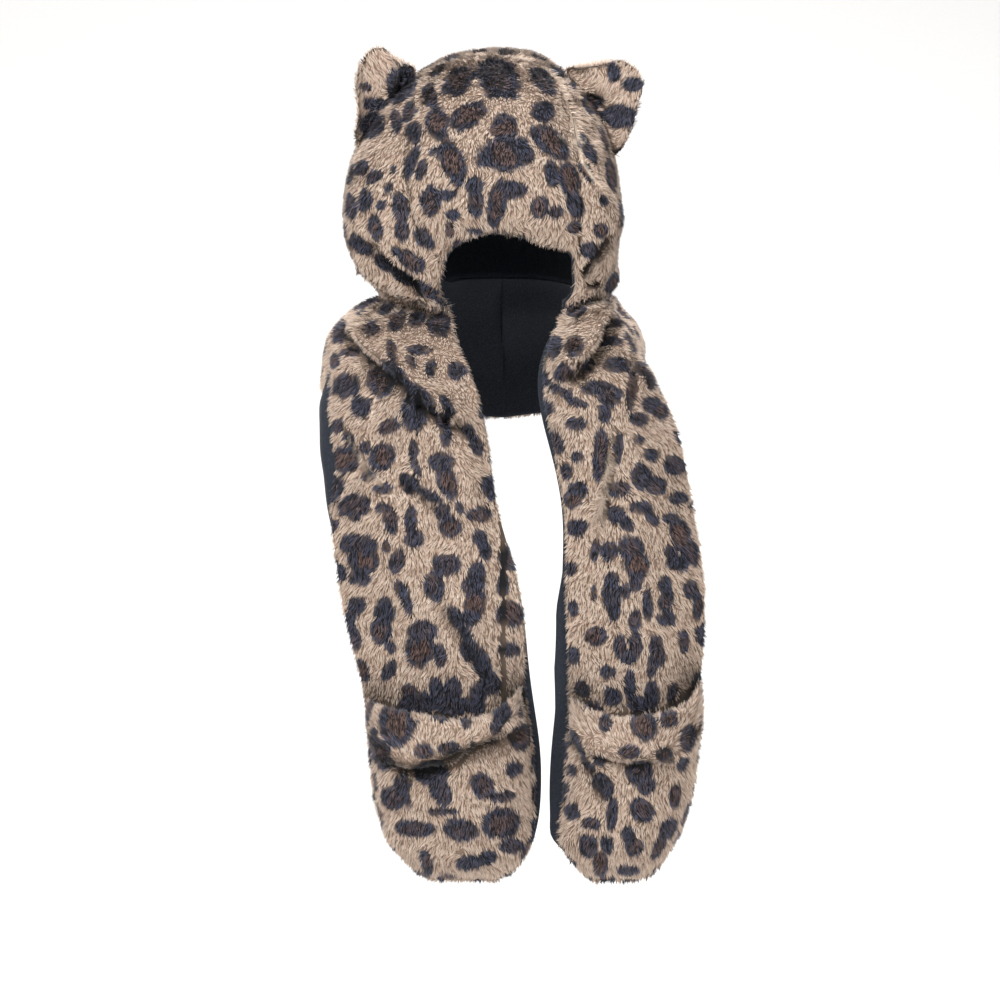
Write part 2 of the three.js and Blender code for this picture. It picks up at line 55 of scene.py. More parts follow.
# The photograph's view
PHOTO_SIDE = 1000  # pixels
PHOTO_SPAN = 950 * MM  # what the frame spans at the target
CAMERA_DISTANCE = 3.0
CAMERA_RISE = math.radians(4)
SENSOR = 36.0  # millimetres
TARGET = Vector((-3 * MM, -110 * MM, -420 * MM))

# Cloth
MERGE = 0.01 * MM
SMOOTH_LEVELS = 2
JOIN_BEND = math.radians(60)  # two triangles that bend less than this become a quad
JOIN_SKEW = math.radians(70)  # whose corners may be this far from square
SHARP_EDGE = math.radians(60)  # an edge that turns more than this stays sharp
ROUND_BELOW = -0.7  # the scarf's ends below this height are round
RAY_START = 0.1  # how many millimetres from its own cloth a ray starts that feels for other cloth
DRAW_IN = 1.6 * MM  # the backing lies this far inside the CAD wall's outer face
MOST_DRAWN = 0.4  # or at most this share of the wall
WAY_FOUND = 0.5  # a way out has the length 1, or 0 where there is none
THICKEST_WALL = 16 * MM
COVERED = 6 * MM  # cloth with another piece this close in front has no pile
POCKET_DEPTH = 34 * MM  # and inside a pocket, this far
LAYERS = 22 * MM  # a fold takes all the cloth this deep with it
LINING_RIM = 0.9 * MM  # a lining's edges reach this much further, over the seam to the next
LINING_WALL = 2.6 * MM  # a lining is thinner than this
SLANT = 0.7  # how far rays that feel for neighbours lean from the normal
OFF_AXIS = [0.31, 0.17, 0.94]  # no cloth faces just this way
OPEN_WAYS = 3  # in the open air, at least so many of the four slanted rays meet nothing
FLAP_EDGE = 3 * MM  # how wide the step is at the edge of a fold
DEEPEST = 10 * MM  # a crease this deep takes the full painted shade
STEP_SHADE = 4 * MM  # how far the painted shade reaches from the edge of a fold
MOUTH_REACH = 22 * MM  # how far the shade of a pocket's mouth reaches
MOUTH_SHADE = 0.8
MOUTH_FLOOR = -0.64  # the height of the cuffs' lower edges
MIDDLE_SEAM = 3 * MM  # half the width of the seam between the scarf's two halves
BACKWARD = 0.5  # cloth whose normal's share along +Y is more than this faces the back
FLAP_LAP = 0.3  # how far a fold laps over, as a share of its rise
FLAP_REACH = 2.6  # how far the cloth beside a crease stays raised, in widths of the crease
CREASE_ENDS = 0.2  # the share of its length over which a crease fades out at each end
EAR_FOOT = 10 * MM  # the part of an ear that is drawn towards the hood
EAR_SEAT = 4 * MM  # and how far its foot sinks into the pile's backing

# Pile
PILE_LENGTH = 6.6 * MM
PILE_WIDTH = 1.25 * MM
LENGTHS = (0.7, 1.12)  # the least and the most, as shares of the pile's length
WIDTHS = (0.7, 1.3)
CREASE_SHORTENS = 0.45
SHORTEST = 0.3  # how much of a trimmed tuft is left at least
TIP_SCATTER = 0.6 * MM
ROOT_DEPTH = 1.2 * MM
SIDE_BEND = 0.5  # how far a tuft's normals lean to its sides
TIP_BEND = 0.3  # and along it, at its tip
PILE_RISE = 0.55  # how far a tuft stands up, as a share of its length
PILE_PER_MM2 = 0.53
PILE_BEYOND = 2.8 * MM  # how far tips may pass the CAD wall
BEYOND_SHARES = (0.3, 2.2)  # each tuft's own share of that
LOCK_SIZE = 4.2 * MM  # tufts whose roots share a cell of this size lean together
LOCK_PULL = 0.42
MOST_TUFTS = 62000  # on one piece
TONE = 0.42  # how light the tufts are, from 0 to 1
TONE_SPREAD = 0.24
TONE_WAVES = [(0.12, 9 * MM, 6)]  # strength, length and seed
COLOUR_AT = 0.6  # the share of its length where a tuft's colour is read
KEEL_LIGHT = 1.2  # the root of a tuft's keel is this much lighter, with less painted shade
ROOT_SHADE = 0.33  # painted shade: how light a tuft is at its root, as a share of its tip
CREASE_SHADE = 0.86  # how much painted shade darkens the pile in the depth of a crease
BARE_SHADE = 0.3  # what is left of the cloth's light where no pile covers it
PARTING_WIDTH = 1.6 * MM
PARTING_SHADE = 0.85  # how light the cloth shows in a parting, under less painted shade
UPRIGHT = 0.35  # a tuft whose way up is more than this is brushed up
UPRIGHT_SHADE = 0.84  # it catches more light, so its colour is brought down to this share
PARTING_ENDS = 0.3  # how fast a parting comes in at its ends
PARTING_PUSH = 1.8  # how much the pile leans away from a parting
PARTING_REACH = 3.5  # and how far from it, in widths of the parting

# The print, in linear colour
TAN = np.array([0.55, 0.38, 0.28])
TAN_LIGHT = np.array([1.0, 0.83, 0.69])
SPOT_DARK = np.array([0.044, 0.049, 0.076])
SPOT_BROWN = np.array([0.125, 0.078, 0.066])
SEAM_LIGHT = np.array([0.95, 0.78, 0.62])
TUFT_SEAM = 0.6  # how much of a parting's light colour its tufts take
SPOT_MIX = 0.2  # how much the tufts in a spot differ in colour
SPOT_SHADES = (0.3, 2.3)  # a spot's light at a root, and what a bright tip adds
SPOT_EDGE = 1.05  # where a spot ends, in its own half sizes
SPOT_BLUR = 0.16
CORE_EDGE = 0.55  # where its brown middle ends
CORE_BLUR = 0.22
EDGE_WAVES = [(0.1, 14 * MM, 3), (0.07, 6 * MM, 4)]  # strength, length and seed
CORE_WAVES = [(0.18, 18 * MM, 5)]
WAVE_SPREAD = (0.7, 1.4)
SPOT_BOX = 2  # a piece whose box is so many reaches away has none of a spot
SPOT_NEAR = 2.6  # nor has a point so many away
SPOT_DEPTH = 2.5  # how deep a charted spot goes, in its reaches
FAR_OFF = 9.0

# Scattered spots
SPOT_GAP = 7 * MM
SPOT_SIZES = (6 * MM, 15 * MM)  # half lengths
SPOT_WIDTHS = (0.55, 0.9)  # shares of the length
SPOT_BROWNS = [0, 0.4, 0.9]
SPOT_WAY = np.array([0, -0.3, -1.0])  # the way that they lie, give or take the turn
SPOT_TURN = 0.7  # radians
SPOT_TRIAL = 5 * MM  # one is tried for each square of this side
EAR_SPOT_DEPTH = 0.35
EAR_BACK = 0.2  # on an ear, only cloth that faces +Y by more than this has them
SPOT_SEED = 100
PILE_SEED = 200
FACING = 0.1  # cloth turned to the camera by more than this has only charted spots
SEEN_WITHIN = 3 * DRAW_IN  # the camera sees a place if its ray ends this close to it


def camera_axes():
    """The view's own right, up and forward."""
    forward = Vector((0, math.cos(CAMERA_RISE), -math.sin(CAMERA_RISE)))
    right = Vector((1, 0, 0))
    return right, right.cross(forward), forward


def camera_place():
    return TARGET - camera_axes()[2] * CAMERA_DISTANCE


def ray_through(px, py):
    """The direction from the camera through a pixel of the photograph."""
    right, up, forward = camera_axes()
    pixel = PHOTO_SPAN / PHOTO_SIDE
    middle = PHOTO_SIDE / 2
    aim = forward * CAMERA_DISTANCE + right * ((px - middle) * pixel) + up * ((middle - py) * pixel)
    return aim.normalized()


# Charts in pixels of the photograph

# Each spot: across and down to its middle, half its height and width, its lean in degrees
# to the right, and how brown its middle is. The last two are 0 where they are left out.
# Most are print; the notes below name the ones that are painted shade, in whole or in part.
CHARTED_SPOTS_AND_SHADES = [
    # On the hood and the ears
    (458, 80, 19, 12, 35, 0.9), (498, 77, 25, 19, -20, 0.5), (543, 80, 18, 9, -30, 0.6),
    (558, 71, 9, 5, -40), (543, 112, 11, 11), (551, 142, 21, 12, -42, 0.9), (504, 128, 14, 12, 0, 0.9),
    (505, 154, 16, 25, 0, 0.8), (429, 95, 16, 7, -10, 0.5), (437, 123, 17, 11, -12, 0.8),
    (409, 112, 13, 6, 5, 0.6), (413, 132, 12, 8, -15), (468, 115, 19, 11, 52, 0.9), (432, 152, 4, 4),
    (453, 163, 22, 11, -20, 0.9), (441, 151, 8, 5, 30), (411, 163, 16, 6, 25),
    (421, 170, 10, 5, 10, 0.3), (474, 186, 9, 8, 30), (476, 205, 12, 7, 0, 0.5),
    (497, 203, 21, 8, 10, 0.8), (511, 189, 8, 16, 0, 0.2), (540, 207, 11, 8, 20, 0.7),
    (556, 213, 6, 8, 0, 0.4), (552, 174, 13, 7, -10), (570, 180, 15, 10, -10, 0.9),
    (575, 205, 12, 8, -15), (430, 201, 13, 9, 10, 0.6), (446, 195, 5, 9), (401, 208, 14, 8, -5, 0.3),
    (402, 231, 9, 7, 0, 0.4), (388, 188, 6, 4, 35), (381, 205, 5, 5), (365, 201, 11, 7),
    (350, 206, 13, 7, -10, 0.4), (361, 168, 8, 8, 0, 0.3), (374, 177, 6, 9, -20, 0.3),
    (376, 104, 6, 12), (365, 87, 4, 6, 0, 0.5), (375, 228, 12, 7, -10, 0.8),
    (424, 239, 12, 7, -45, 0.2), (453, 215, 5, 6), (450, 230, 7, 4, 0, 0.7), (475, 232, 3, 8),
    # The spots on this line, and (403, 276), (424, 290) and (441, 302) below, are partly print and partly
    # painted shade along the cheek's crease
    (360, 246, 14, 7, -58), (385, 264, 12, 6, -50), (398, 254, 8, 4, -55), (412, 262, 14, 8, -62, 0.7),
    (403, 276, 14, 7, -58), (424, 290, 14, 6, -57), (441, 302, 8, 4, -55, 0.3),
    (426, 293, 4, 14, 0, 0.7), (395, 121, 14, 5, -10, 0.3), (393, 170, 4, 3), (573, 84, 7, 3),
    # (590, 105) here and (592, 101) below are painted shade between the left ear and the hood
    (590, 105, 11, 9, -20, 1), (588, 148, 16, 6, -28, 0.3), (587, 172, 11, 5, -28, 0.9),
    (612, 175, 16, 6, -5, 1), (604, 201, 6, 5, -20), (601, 231, 7, 7, 0, 0.9), (589, 250, 8, 9, 0, 0.2),
    (575, 228, 6, 7, 0, 0.6), (614, 284, 11, 8, 20, 0.7), (614, 71, 9, 7, -10), (633, 84, 8, 10),
    # (402, 88) is painted shade in the right ear's hollow
    (621, 117, 11, 18, 0, 0.1), (592, 101, 5, 12, 0, 0.8), (402, 88, 21, 15, 12, 0.2),
    (373, 127, 14, 13, -20, 0.3),
    # On the right arm of the scarf
    (366, 303, 13, 6, 60, 0.3), (386, 309, 9, 7, 20), (371, 328, 8, 8, 0, 0.3),
    (397, 320, 13, 8, 20, 0.7), (417, 318, 10, 8, 30), (439, 324, 13, 11, 0, 0.6),
    (339, 332, 13, 9, 0, 0.4), (391, 350, 11, 5, -10, 0.7), (419, 350, 5, 11, 0, 0.1),
    (411, 362, 8, 4, -20, 0.3), (431, 368, 9, 5), (457, 371, 9, 9, -20), (352, 351, 5, 14, -10, 0.6),
    (334, 361, 8, 7, 0, 0.7), (345, 386, 12, 15, 0, 0.2), (360, 407, 10, 10),
    # (395, 372), (418, 394) and (447, 405) are partly print and partly painted shade along the arm's crease
    (380, 382, 15, 12, -20, 0.9), (395, 372, 18, 6, -50), (418, 394, 19, 7, -55),
    (447, 405, 11, 5, -30), (414, 414, 16, 13, -10), (441, 418, 6, 7, 0, 0.4), (446, 435, 12, 6),
    (389, 427, 7, 11, -20, 0.5), (337, 427, 7, 8, 0, 0.5), (349, 439, 9, 5, -40),
    (344, 460, 13, 14, 0, 0.9), (382, 457, 13, 12, 0, 0.9), (365, 448, 6, 6, 0, 0.3),
    (413, 450, 9, 5, 0, 0.4), (416, 468, 10, 4, -30), (369, 475, 6, 8), (383, 489, 5, 10, 0, 0.2),
    (410, 484, 12, 8, -45), (430, 496, 12, 5, -60), (442, 463, 10, 12), (448, 482, 15, 9, -20, 0.8),
    (468, 432, 8, 7, -40), (477, 446, 10, 6, -20, 0.2), (353, 507, 12, 16, 0, 0.5), (380, 508, 5, 6),
    (390, 519, 14, 7, -15, 0.6), (411, 521, 13, 6, 5), (414, 539, 8, 9, 0, 0.1),
    (443, 513, 9, 7, -25, 0.4), (450, 527, 9, 11, 0, 0.8), (460, 508, 6, 4, -20),
    (479, 515, 7, 12, 0, 0.6), (480, 538, 8, 7), (485, 551, 10, 6, -10), (358, 545, 10, 19, 0, 0.3),
    (363, 561, 13, 15, 0, 1), (360, 578, 8, 11), (397, 562, 11, 7, 15, 0.4), (386, 547, 6, 4, 0, 0.7),
    (446, 565, 10, 13, 0, 0.3), (478, 576, 15, 8), (470, 588, 8, 8, 0, 0.3), (475, 604, 17, 10, 0, 1),
    (470, 618, 8, 9), (503, 585, 11, 6, 0, 0.2), (434, 588, 14, 9, -10, 0.5), (401, 591, 9, 6, -20),
    (408, 605, 10, 5, -10), (356, 606, 9, 9, 20), (349, 619, 8, 6, 30), (354, 638, 13, 6, -15, 0.4),
    (384, 611, 12, 10), (381, 632, 12, 10, 0, 0.7), (390, 647, 6, 6), (423, 631, 10, 14, 0, 0.3),
    (420, 652, 16, 14, 0, 1), (440, 655, 12, 7, 0, 0.1), (455, 618, 13, 6, -30), (465, 634, 11, 5, -30),
    (510, 615, 13, 13, 10, 0.7), (510, 650, 7, 11), (470, 650, 12, 9, -10), (482, 664, 17, 8, -20),
    (491, 682, 12, 8, -20), (389, 671, 10, 6, 25), (409, 690, 6, 8, 0, 0.6), (436, 690, 12, 7),
    # (419, 703), (452, 706) and (478, 706) are painted shadow in the right pocket's mouth
    (453, 691, 13, 9, 0, 0.2), (479, 694, 12, 9), (419, 703, 11, 20, 0, 0.1),
    (452, 706, 10, 18, 0, 0.1), (478, 706, 8, 9),
    # On the left arm
    (586, 298, 8, 8, 0, 0.5), (577, 311, 7, 10, 0, 0.5), (553, 347, 12, 8, 10), (574, 346, 11, 9, 0, 1),
    (564, 374, 9, 10, 0, 0.5), (586, 366, 8, 8, 0, 0.1), (613, 323, 5, 11, 0, 0.7), (611, 341, 5, 13),
    # (586, 366) is painted shade in the hollow under the left arm's roll
    (632, 342, 12, 4, -30, 0.3), (617, 365, 7, 14), (643, 368, 8, 7, 0, 0.6), (652, 381, 9, 6, 0, 0.4),
    (632, 390, 19, 5, 5, 0.9), (596, 388, 7, 14, 0, 0.2), (610, 397, 10, 11, 0, 0.5), (605, 413, 9, 6),
    (560, 391, 5, 12, 25, 0.2), (577, 403, 4, 10, 15, 0.3), (546, 408, 7, 7), (576, 424, 6, 10),
    (652, 405, 8, 11, 0, 0.1), (661, 411, 8, 8, 0, 0.9), (640, 420, 6, 11, 0, 0.2), (639, 441, 5, 6),
    (652, 455, 6, 8), (619, 447, 15, 4, 5), (600, 457, 24, 7, 3, 0.6), (577, 457, 6, 6),
    (566, 472, 7, 6), (578, 491, 9, 9), (573, 500, 9, 9, 0, 0.9), (675, 466, 9, 12, 0, 0.3),
    (642, 476, 12, 10, -20, 0.1), (656, 486, 8, 11, 0, 0.4), (619, 490, 8, 11, 0, 0.5),
    (679, 498, 6, 9), (616, 515, 8, 9), (627, 524, 9, 6, -40), (640, 508, 6, 11),
    (652, 518, 10, 5, -45), (577, 528, 8, 11), (671, 518, 5, 8), (681, 536, 16, 10, -15, 1),
    (691, 552, 14, 9, -20, 0.4), (680, 563, 8, 12), (672, 552, 6, 7), (595, 550, 11, 4, 10, 0.3),
    (609, 551, 9, 8), (632, 548, 11, 13, 0, 0.5), (638, 566, 15, 11, -12, 1), (636, 583, 7, 6),
    (612, 580, 9, 7), (612, 597, 15, 9, 0, 0.2), (614, 613, 8, 6), (625, 592, 7, 5, 0, 0.2),
    # (594, 593) is a thin line of painted shade
    (570, 569, 6, 6), (573, 608, 7, 5), (594, 593, 8, 3, 0, 0.5), (665, 586, 9, 6),
    (666, 601, 12, 7, 10, 0.6), (667, 619, 7, 10, 0, 0.1), (648, 605, 15, 5), (691, 590, 8, 8, 0, 0.4),
    (698, 607, 14, 5, 0, 0.6), (684, 643, 11, 5, 0, 0.5), (635, 620, 10, 6, 10, 0.4),
    (596, 636, 9, 11, 0, 0.9), (620, 648, 12, 6, 0, 0.4), (635, 647, 15, 6, 0, 0.4),
    (629, 657, 8, 9, 0, 0.1), (658, 650, 14, 7, -10, 0.4), (652, 666, 12, 5, 10, 0.4),
    (608, 672, 7, 8, 10), (573, 655, 9, 6), (630, 686, 15, 5), (613, 697, 9, 9),
    # (640, 704) is painted shadow in the left pocket's mouth
    (582, 689, 8, 8, 0, 0.2), (652, 695, 14, 7), (673, 693, 10, 5, 15, 0.2), (640, 704, 8, 13),
    # On the right pocket
    (396, 724, 21, 17, -8, 1), (424, 751, 7, 9, 0, 0.7), (449, 748, 6, 10, 0, 0.5),
    (466, 722, 7, 5, 0, 0.5), (502, 713, 12, 9, 10), (495, 729, 6, 5, 0, 0.2),
    (379, 753, 18, 13, -30, 0.7), (373, 733, 5, 6), (431, 771, 13, 16, 0, 0.2),
    (440, 792, 14, 9, -20, 0.3), (402, 784, 9, 9, 0, 0.2), (394, 799, 11, 15, 0, 0.5),
    (443, 812, 4, 14, 0, 0.4), (414, 829, 8, 21, 0, 0.4), (461, 830, 10, 16, 10, 0.5),
    (502, 824, 15, 18, 10, 0.7), (484, 785, 13, 10, -30, 0.6), (503, 797, 6, 12, 0, 0.4),
    (515, 770, 7, 8), (521, 737, 13, 12, 0, 1), (512, 846, 7, 13, 5, 0.3), (470, 864, 8, 12),
    (488, 858, 8, 9), (426, 862, 14, 6, -15, 0.6),
    # On the left pocket
    (590, 709, 7, 12, 0, 0.4), (605, 722, 8, 6, 0, 0.6), (644, 724, 16, 11, -10, 1),
    (669, 719, 8, 8, 0, 1), (689, 738, 13, 8, 10, 0.5), (629, 752, 7, 10, 0, 0.7),
    (664, 755, 7, 9, 25, 0.9), (683, 763, 8, 7, 0, 0.2), (640, 772, 13, 12, 0, 0.5),
    (647, 786, 9, 8, -15, 0.2), (676, 797, 11, 6, 0, 0.7), (642, 811, 11, 12, 0, 0.5),
    # (603, 786) and (612, 815) are partly print and partly painted shade along the fold below the left
    # pocket's cuff
    (603, 786, 13, 9, -30), (612, 815, 18, 5, 5), (571, 812, 7, 10, 10), (591, 824, 6, 9, 0, 0.5),
    (588, 847, 12, 9, 0, 0.3), (607, 845, 8, 6), (600, 866, 14, 7, -5, 0.9), (629, 836, 10, 6, -10),
    (635, 848, 9, 9, 0, 0.6), (669, 830, 11, 9, 20, 0.2), (660, 847, 13, 6, 25, 0.8),
    # (577, 743) and (589, 765) are painted shadow along that same fold
    (628, 871, 6, 11, 0, 0.2), (571, 770, 6, 5), (577, 743, 14, 4, -30), (589, 765, 12, 5, -32),
]

# Each push: across and down to its middle, its reach across and in depth, and how far the cloth
# there moves to the right and up, all but the pixels in millimetres.
PUSHES = [
    (492, 240, 34, 34, 0, 8), (452, 252, 17, 17, -8, 5), (562, 258, 17, 17, 9, 6),
    (500, 54, 36, 60, 0, 2.5), (630, 308, 17, 80, -12, -3), (642, 330, 14, 70, -4, 0),
    (642, 374, 13, 60, 7, 0), (340, 338, 17, 60, -6, 1), (322, 470, 24, 30, 4, 0), (612, 243, 9, 40, -9, 0),
    (609, 280, 14, 30, 8, 0), (616, 216, 13, 40, 4, 0), (354, 112, 22, 30, 6, 0), (378, 46, 16, 20, 0, -3),
    (637, 100, 14, 20, -3, 0), (384, 845, 17, 20, -7, -1), (566, 838, 17, 20, -6, 0),
    (666, 852, 17, 20, -4, 0),
]
# Each lift of a cuff's lower edge, as a push is given.
CUFF_LIFTS = [(470, 757, 14, 14, 0, 7), (490, 752, 15, 15, 0, 13), (512, 742, 14, 14, 0, 12)]
# Each edge that moves to the side, so that a lining shows past the plush: the piece, the reach,
# and the edge's path, with how many millimetres it moves to the right.
EDGE_SHIFTS = [
    ("right_fleece", 14, [(328, 352, 0), (326, 372, -6), (327, 430, -7), (330, 470, -7), (334, 508, -3)]),
    ("right_scarf", 12, [(328, 352, 0), (326, 372, 5), (327, 430, 4), (330, 470, 3), (334, 508, 0)]),
    ("left_fleece", 16, [(566, 575, 0), (566, 610, -7), (566, 670, -9), (562, 712, -4), (560, 830, -5)]),
]

# Each crease: its width and depth and how far the cloth beside it rises, in millimetres, on
# which side of the way along it (1 is the right-hand side), and its path.
CREASES = [
    (12, 14, 9, -1, [(350, 232), (372, 243), (391, 256), (420, 277), (454, 300)]),
    (5, 8, 6, -1, [(626, 239), (607, 245), (594, 262), (581, 284)]),
    (5, 8, 5, -1, [(612, 302), (592, 293), (576, 287)]),
    (8, 12, 11, -1, [(345, 322), (366, 350), (400, 380), (434, 409), (460, 421), (482, 443)]),
    (5, 5, 4, -1, [(346, 432), (362, 458), (379, 482)]),
    (6, 7, 6, -1, [(398, 473), (411, 486), (442, 506)]),
    (8, 6, 4, -1, [(438, 592), (460, 630), (483, 668), (497, 692)]),
    (11, 15, 14, 1, [(604, 306), (599, 332), (590, 352), (578, 367), (555, 383)]),
    (5, 6, 5, 1, [(620, 420), (611, 445), (607, 475), (603, 505), (597, 540)]),
    (6, 6, 5, 1, [(619, 320), (629, 345), (633, 375), (628, 410)]),
    (7, 9, 5, -1, [(570, 730), (579, 746), (590, 766), (600, 785), (608, 806)]),
    (10, 10, 7, -1,
     [(366, 728), (384, 748), (405, 767), (430, 762), (452, 754), (470, 746), (488, 738), (508, 729),
      (530, 720)]),
    (5, 4, 5, -1, [(576, 730), (592, 750), (617, 757), (645, 762), (668, 757), (683, 742), (691, 726)]),
    (4, 6, 5, 1, [(402, 62), (399, 80), (391, 99)]),
    (4, 5, 5, -1, [(577, 92), (590, 92), (602, 98), (606, 112)]),
]

# Where the pile is parted and shows a light line.
PARTINGS = [
    [(550, 70), (560, 84), (568, 99), (573, 117), (577, 139), (582, 159), (594, 178), (611, 198)],
    [(613, 440), (607, 475), (603, 505), (598, 530)],
    [(346, 434), (362, 460), (378, 481)],
]


# Cloth pieces


def placed(name, data):
    """A new object in the scene."""
    made = bpy.data.objects.new(name, data)
    bpy.context.collection.objects.link(made)
    return made


def smooth_copy(node, name):
    """A smooth copy of a CAD node, with its pairs of triangles joined to quads first."""
    bm = bmesh.new()
    bm.from_mesh(nodes[node].data)
    bmesh.ops.remove_doubles(bm, verts=bm.verts, dist=MERGE)
    bmesh.ops.join_triangles(
        bm, faces=bm.faces, angle_face_threshold=JOIN_BEND, angle_shape_threshold=JOIN_SKEW
    )
    sharpen(bm)
    mesh = bpy.data.meshes.new(name)
    bm.to_mesh(mesh)
    bm.free()
    piece = placed(name, mesh)
    level = piece.modifiers.new("smooth", "SUBSURF")
    level.levels = level.render_levels = SMOOTH_LEVELS
    apply_modifiers(piece)
    piece.data.shade_smooth()
    return piece


def sharpen(bm):
    """Keeps the edges round a sheet's rim sharp, but not where its free end is round."""
    crease = bm.edges.layers.float.new("crease_edge")
    for edge in bm.edges:
        if edge.calc_face_angle(0) > SHARP_EDGE:
            edge[crease] = 1
    for vert in bm.verts:
        sharp = [edge for edge in vert.link_edges if edge[crease]]
        if vert.co.z < ROUND_BELOW and len(sharp) > 2:
            min(sharp, key=lambda edge: edge.calc_length())[crease] = 0


def apply_modifiers(piece):
    graph = bpy.context.evaluated_depsgraph_get()
    baked = bpy.data.meshes.new_from_object(piece.evaluated_get(graph))
    piece.modifiers.clear()
    piece.data = baked


def unit(v, tiny=1e-12):
    return v / np.maximum(np.linalg.norm(v, axis=-1, keepdims=True), tiny)


def vectors(elements, field):
    out = np.empty(len(elements) * 3)
    elements.foreach_get(field, out)
    return out.reshape(-1, 3)


def points_of(piece):
    return vectors(piece.data.vertices, "co")


def set_points(piece, points):
    piece.data.vertices.foreach_set("co", points.ravel())
    piece.data.update()


def triangles_of(piece):
    piece.data.calc_loop_triangles()
    corners = np.empty(len(piece.data.loop_triangles) * 3, dtype=int)
    piece.data.loop_triangles.foreach_get("vertices", corners)
    return corners.reshape(-1, 3)


def tree_of(pieces):
    """One tree of the triangles of several pieces."""
    verts, faces = [], []
    for piece in pieces:
        faces.extend((triangles_of(piece) + len(verts)).tolist())
        verts.extend(points_of(piece).tolist())
    return BVHTree.FromPolygons(verts, faces, all_triangles=True)


def middles_and_normals(piece):
    """Each triangle's middle, and its normal with the length of twice its area."""
    a, b, c = (points_of(piece)[triangles_of(piece)[:, k]] for k in range(3))
    return (a + b + c) / 3, np.cross(b - a, c - a)


def free_rays(starts, ways, tree, reach):
    """True for each ray that meets nothing within its reach."""
    rays = zip(map(Vector, starts + unit(ways) * RAY_START * MM), map(Vector, unit(ways)))
    return np.array([tree.ray_cast(start, way, reach)[0] is None for start, way in rays])


def free_triangles(piece, tree, reach, way=1):
    """True for each triangle whose ray outward, or inward if way is -1, meets nothing in reach."""
    middles, normals = middles_and_normals(piece)
    return free_rays(middles, normals * way, tree, reach)


def in_open_air(piece, tree, reach):
    """True for each triangle with nothing before it, also on three of four slanted ways."""
    middles, normals = middles_and_normals(piece)
    normals = unit(normals)
    across = unit(np.cross(normals, OFF_AXIS)) * SLANT
    along = np.cross(normals, across)
    leans = (across, -across, along, -along)
    slanted = [free_rays(middles, normals + lean, tree, reach) for lean in leans]
    return free_rays(middles, normals, tree, reach) & (np.sum(slanted, axis=0) >= OPEN_WAYS)


def outward_at(piece, chosen):
    """For each vertex, the way out of the chosen triangles round it, or zero."""
    outward = np.zeros((len(piece.data.vertices), 3))
    normals = middles_and_normals(piece)[1][chosen]
    for corner in range(3):
        np.add.at(outward, triangles_of(piece)[chosen][:, corner], normals)
    return unit(outward)


PLUSH = {
    "hood_centre_panel": "centre_panel",
    "hood_side_right": "right_panel",
    "hood_side_left": "left_panel",
    "ear_right": "right_ear",
    "ear_left": "left_ear",
    "scarf_right": "right_scarf",
    "scarf_left": "left_scarf",
    "pocket_right": "right_pocket",
    "pocket_left": "left_pocket",
}
LINING = {
    "hood_lining": "hood_fleece",
    "scarf_lining_right": "right_fleece",
    "scarf_lining_left": "left_fleece",
}


def widen(piece, reach):
    """Moves a thin sheet's rim outward. Rim triangles have no wall close behind them."""
    rim = free_triangles(piece, tree_of([piece]), LINING_WALL, way=-1)
    set_points(piece, points_of(piece) + outward_at(piece, rim) * reach)


plush = {name: smooth_copy(node, name) for node, name in PLUSH.items()}
lining = {name: smooth_copy(node, name) for node, name in LINING.items()}
for piece in lining.values():
    widen(piece, LINING_RIM)
cloth = [*plush.values(), *lining.values()]


# Pushes, folds and partings, which are placed on the front by pixels


def on_front(px, py):
    """The place and the normal on the cloth that a pixel of the photograph shows."""
    eye, way = camera_place(), ray_through(px, py)
    place, normal = front.ray_cast(eye, way)[:2]
    if place is None:
        place, normal = front.find_nearest(eye + way * CAMERA_DISTANCE)[:2]
    if normal.dot(way) > 0:
        normal = -normal
    return np.array(place), np.array(normal)


def path_on_cloth(pixels):
    """A path's corners, its length so far at each, and the cloth's normals there."""
    places, normals = map(np.array, zip(*(on_front(*pixel) for pixel in pixels)))
    steps = np.linalg.norm(np.diff(places, axis=0), axis=1)
    return places, np.r_[0, np.cumsum(steps)], normals


def beside_path(points, path):
    """For each point: how far it is from a path, on which side, how far along, and the normal
    and the way to the right-hand side there."""
    places, lengths, normals = path
    gap = np.full(len(points), np.inf)
    side = np.zeros(len(points))
    along = np.zeros(len(points))
    out = np.zeros_like(points)
    across = np.zeros_like(points)
    for k in range(len(places) - 1):
        step = places[k + 1] - places[k]
        right = unit(np.cross(step, normals[k]))
        t = np.clip((points - places[k]) @ step / (step @ step), 0, 1)[:, None]
        away = points - places[k] - step * t
        normal = unit(normals[k] * (1 - t) + normals[k + 1] * t)
        through = (away * normal).sum(axis=1)[:, None]
        far = np.linalg.norm(away - normal * through, axis=1)
        far += np.maximum(np.abs(through[:, 0]) - LAYERS, 0)
        closer = far < gap
        gap[closer] = far[closer]
        side[closer] = np.sign(away @ right)[closer]
        along[closer] = (lengths[k] + t[:, 0] * np.linalg.norm(step))[closer] / lengths[-1]
        out[closer] = normal[closer]
        across[closer] = right
    return gap, side, along, out, across


def smooth(share):
    """Runs smoothly from 0 to 1 as the share does."""
    share = np.clip(share, 0, 1)
    return share * share * (3 - 2 * share)


def push(pieces, row):
    """Moves the cloth of some pieces near a place on the front."""
    px, py, reach, depth, right, up = row
    place = on_front(px, py)[0]
    axes = np.array(camera_axes())
    shift = (axes[0] * right + axes[1] * up) * MM
    for piece in pieces:
        points = points_of(piece)
        away = (points - place) @ axes.T / (np.array([reach, reach, depth]) * MM)
        near = np.exp(-(away**2).sum(axis=1))
        set_points(piece, points + near[:, None] * shift)


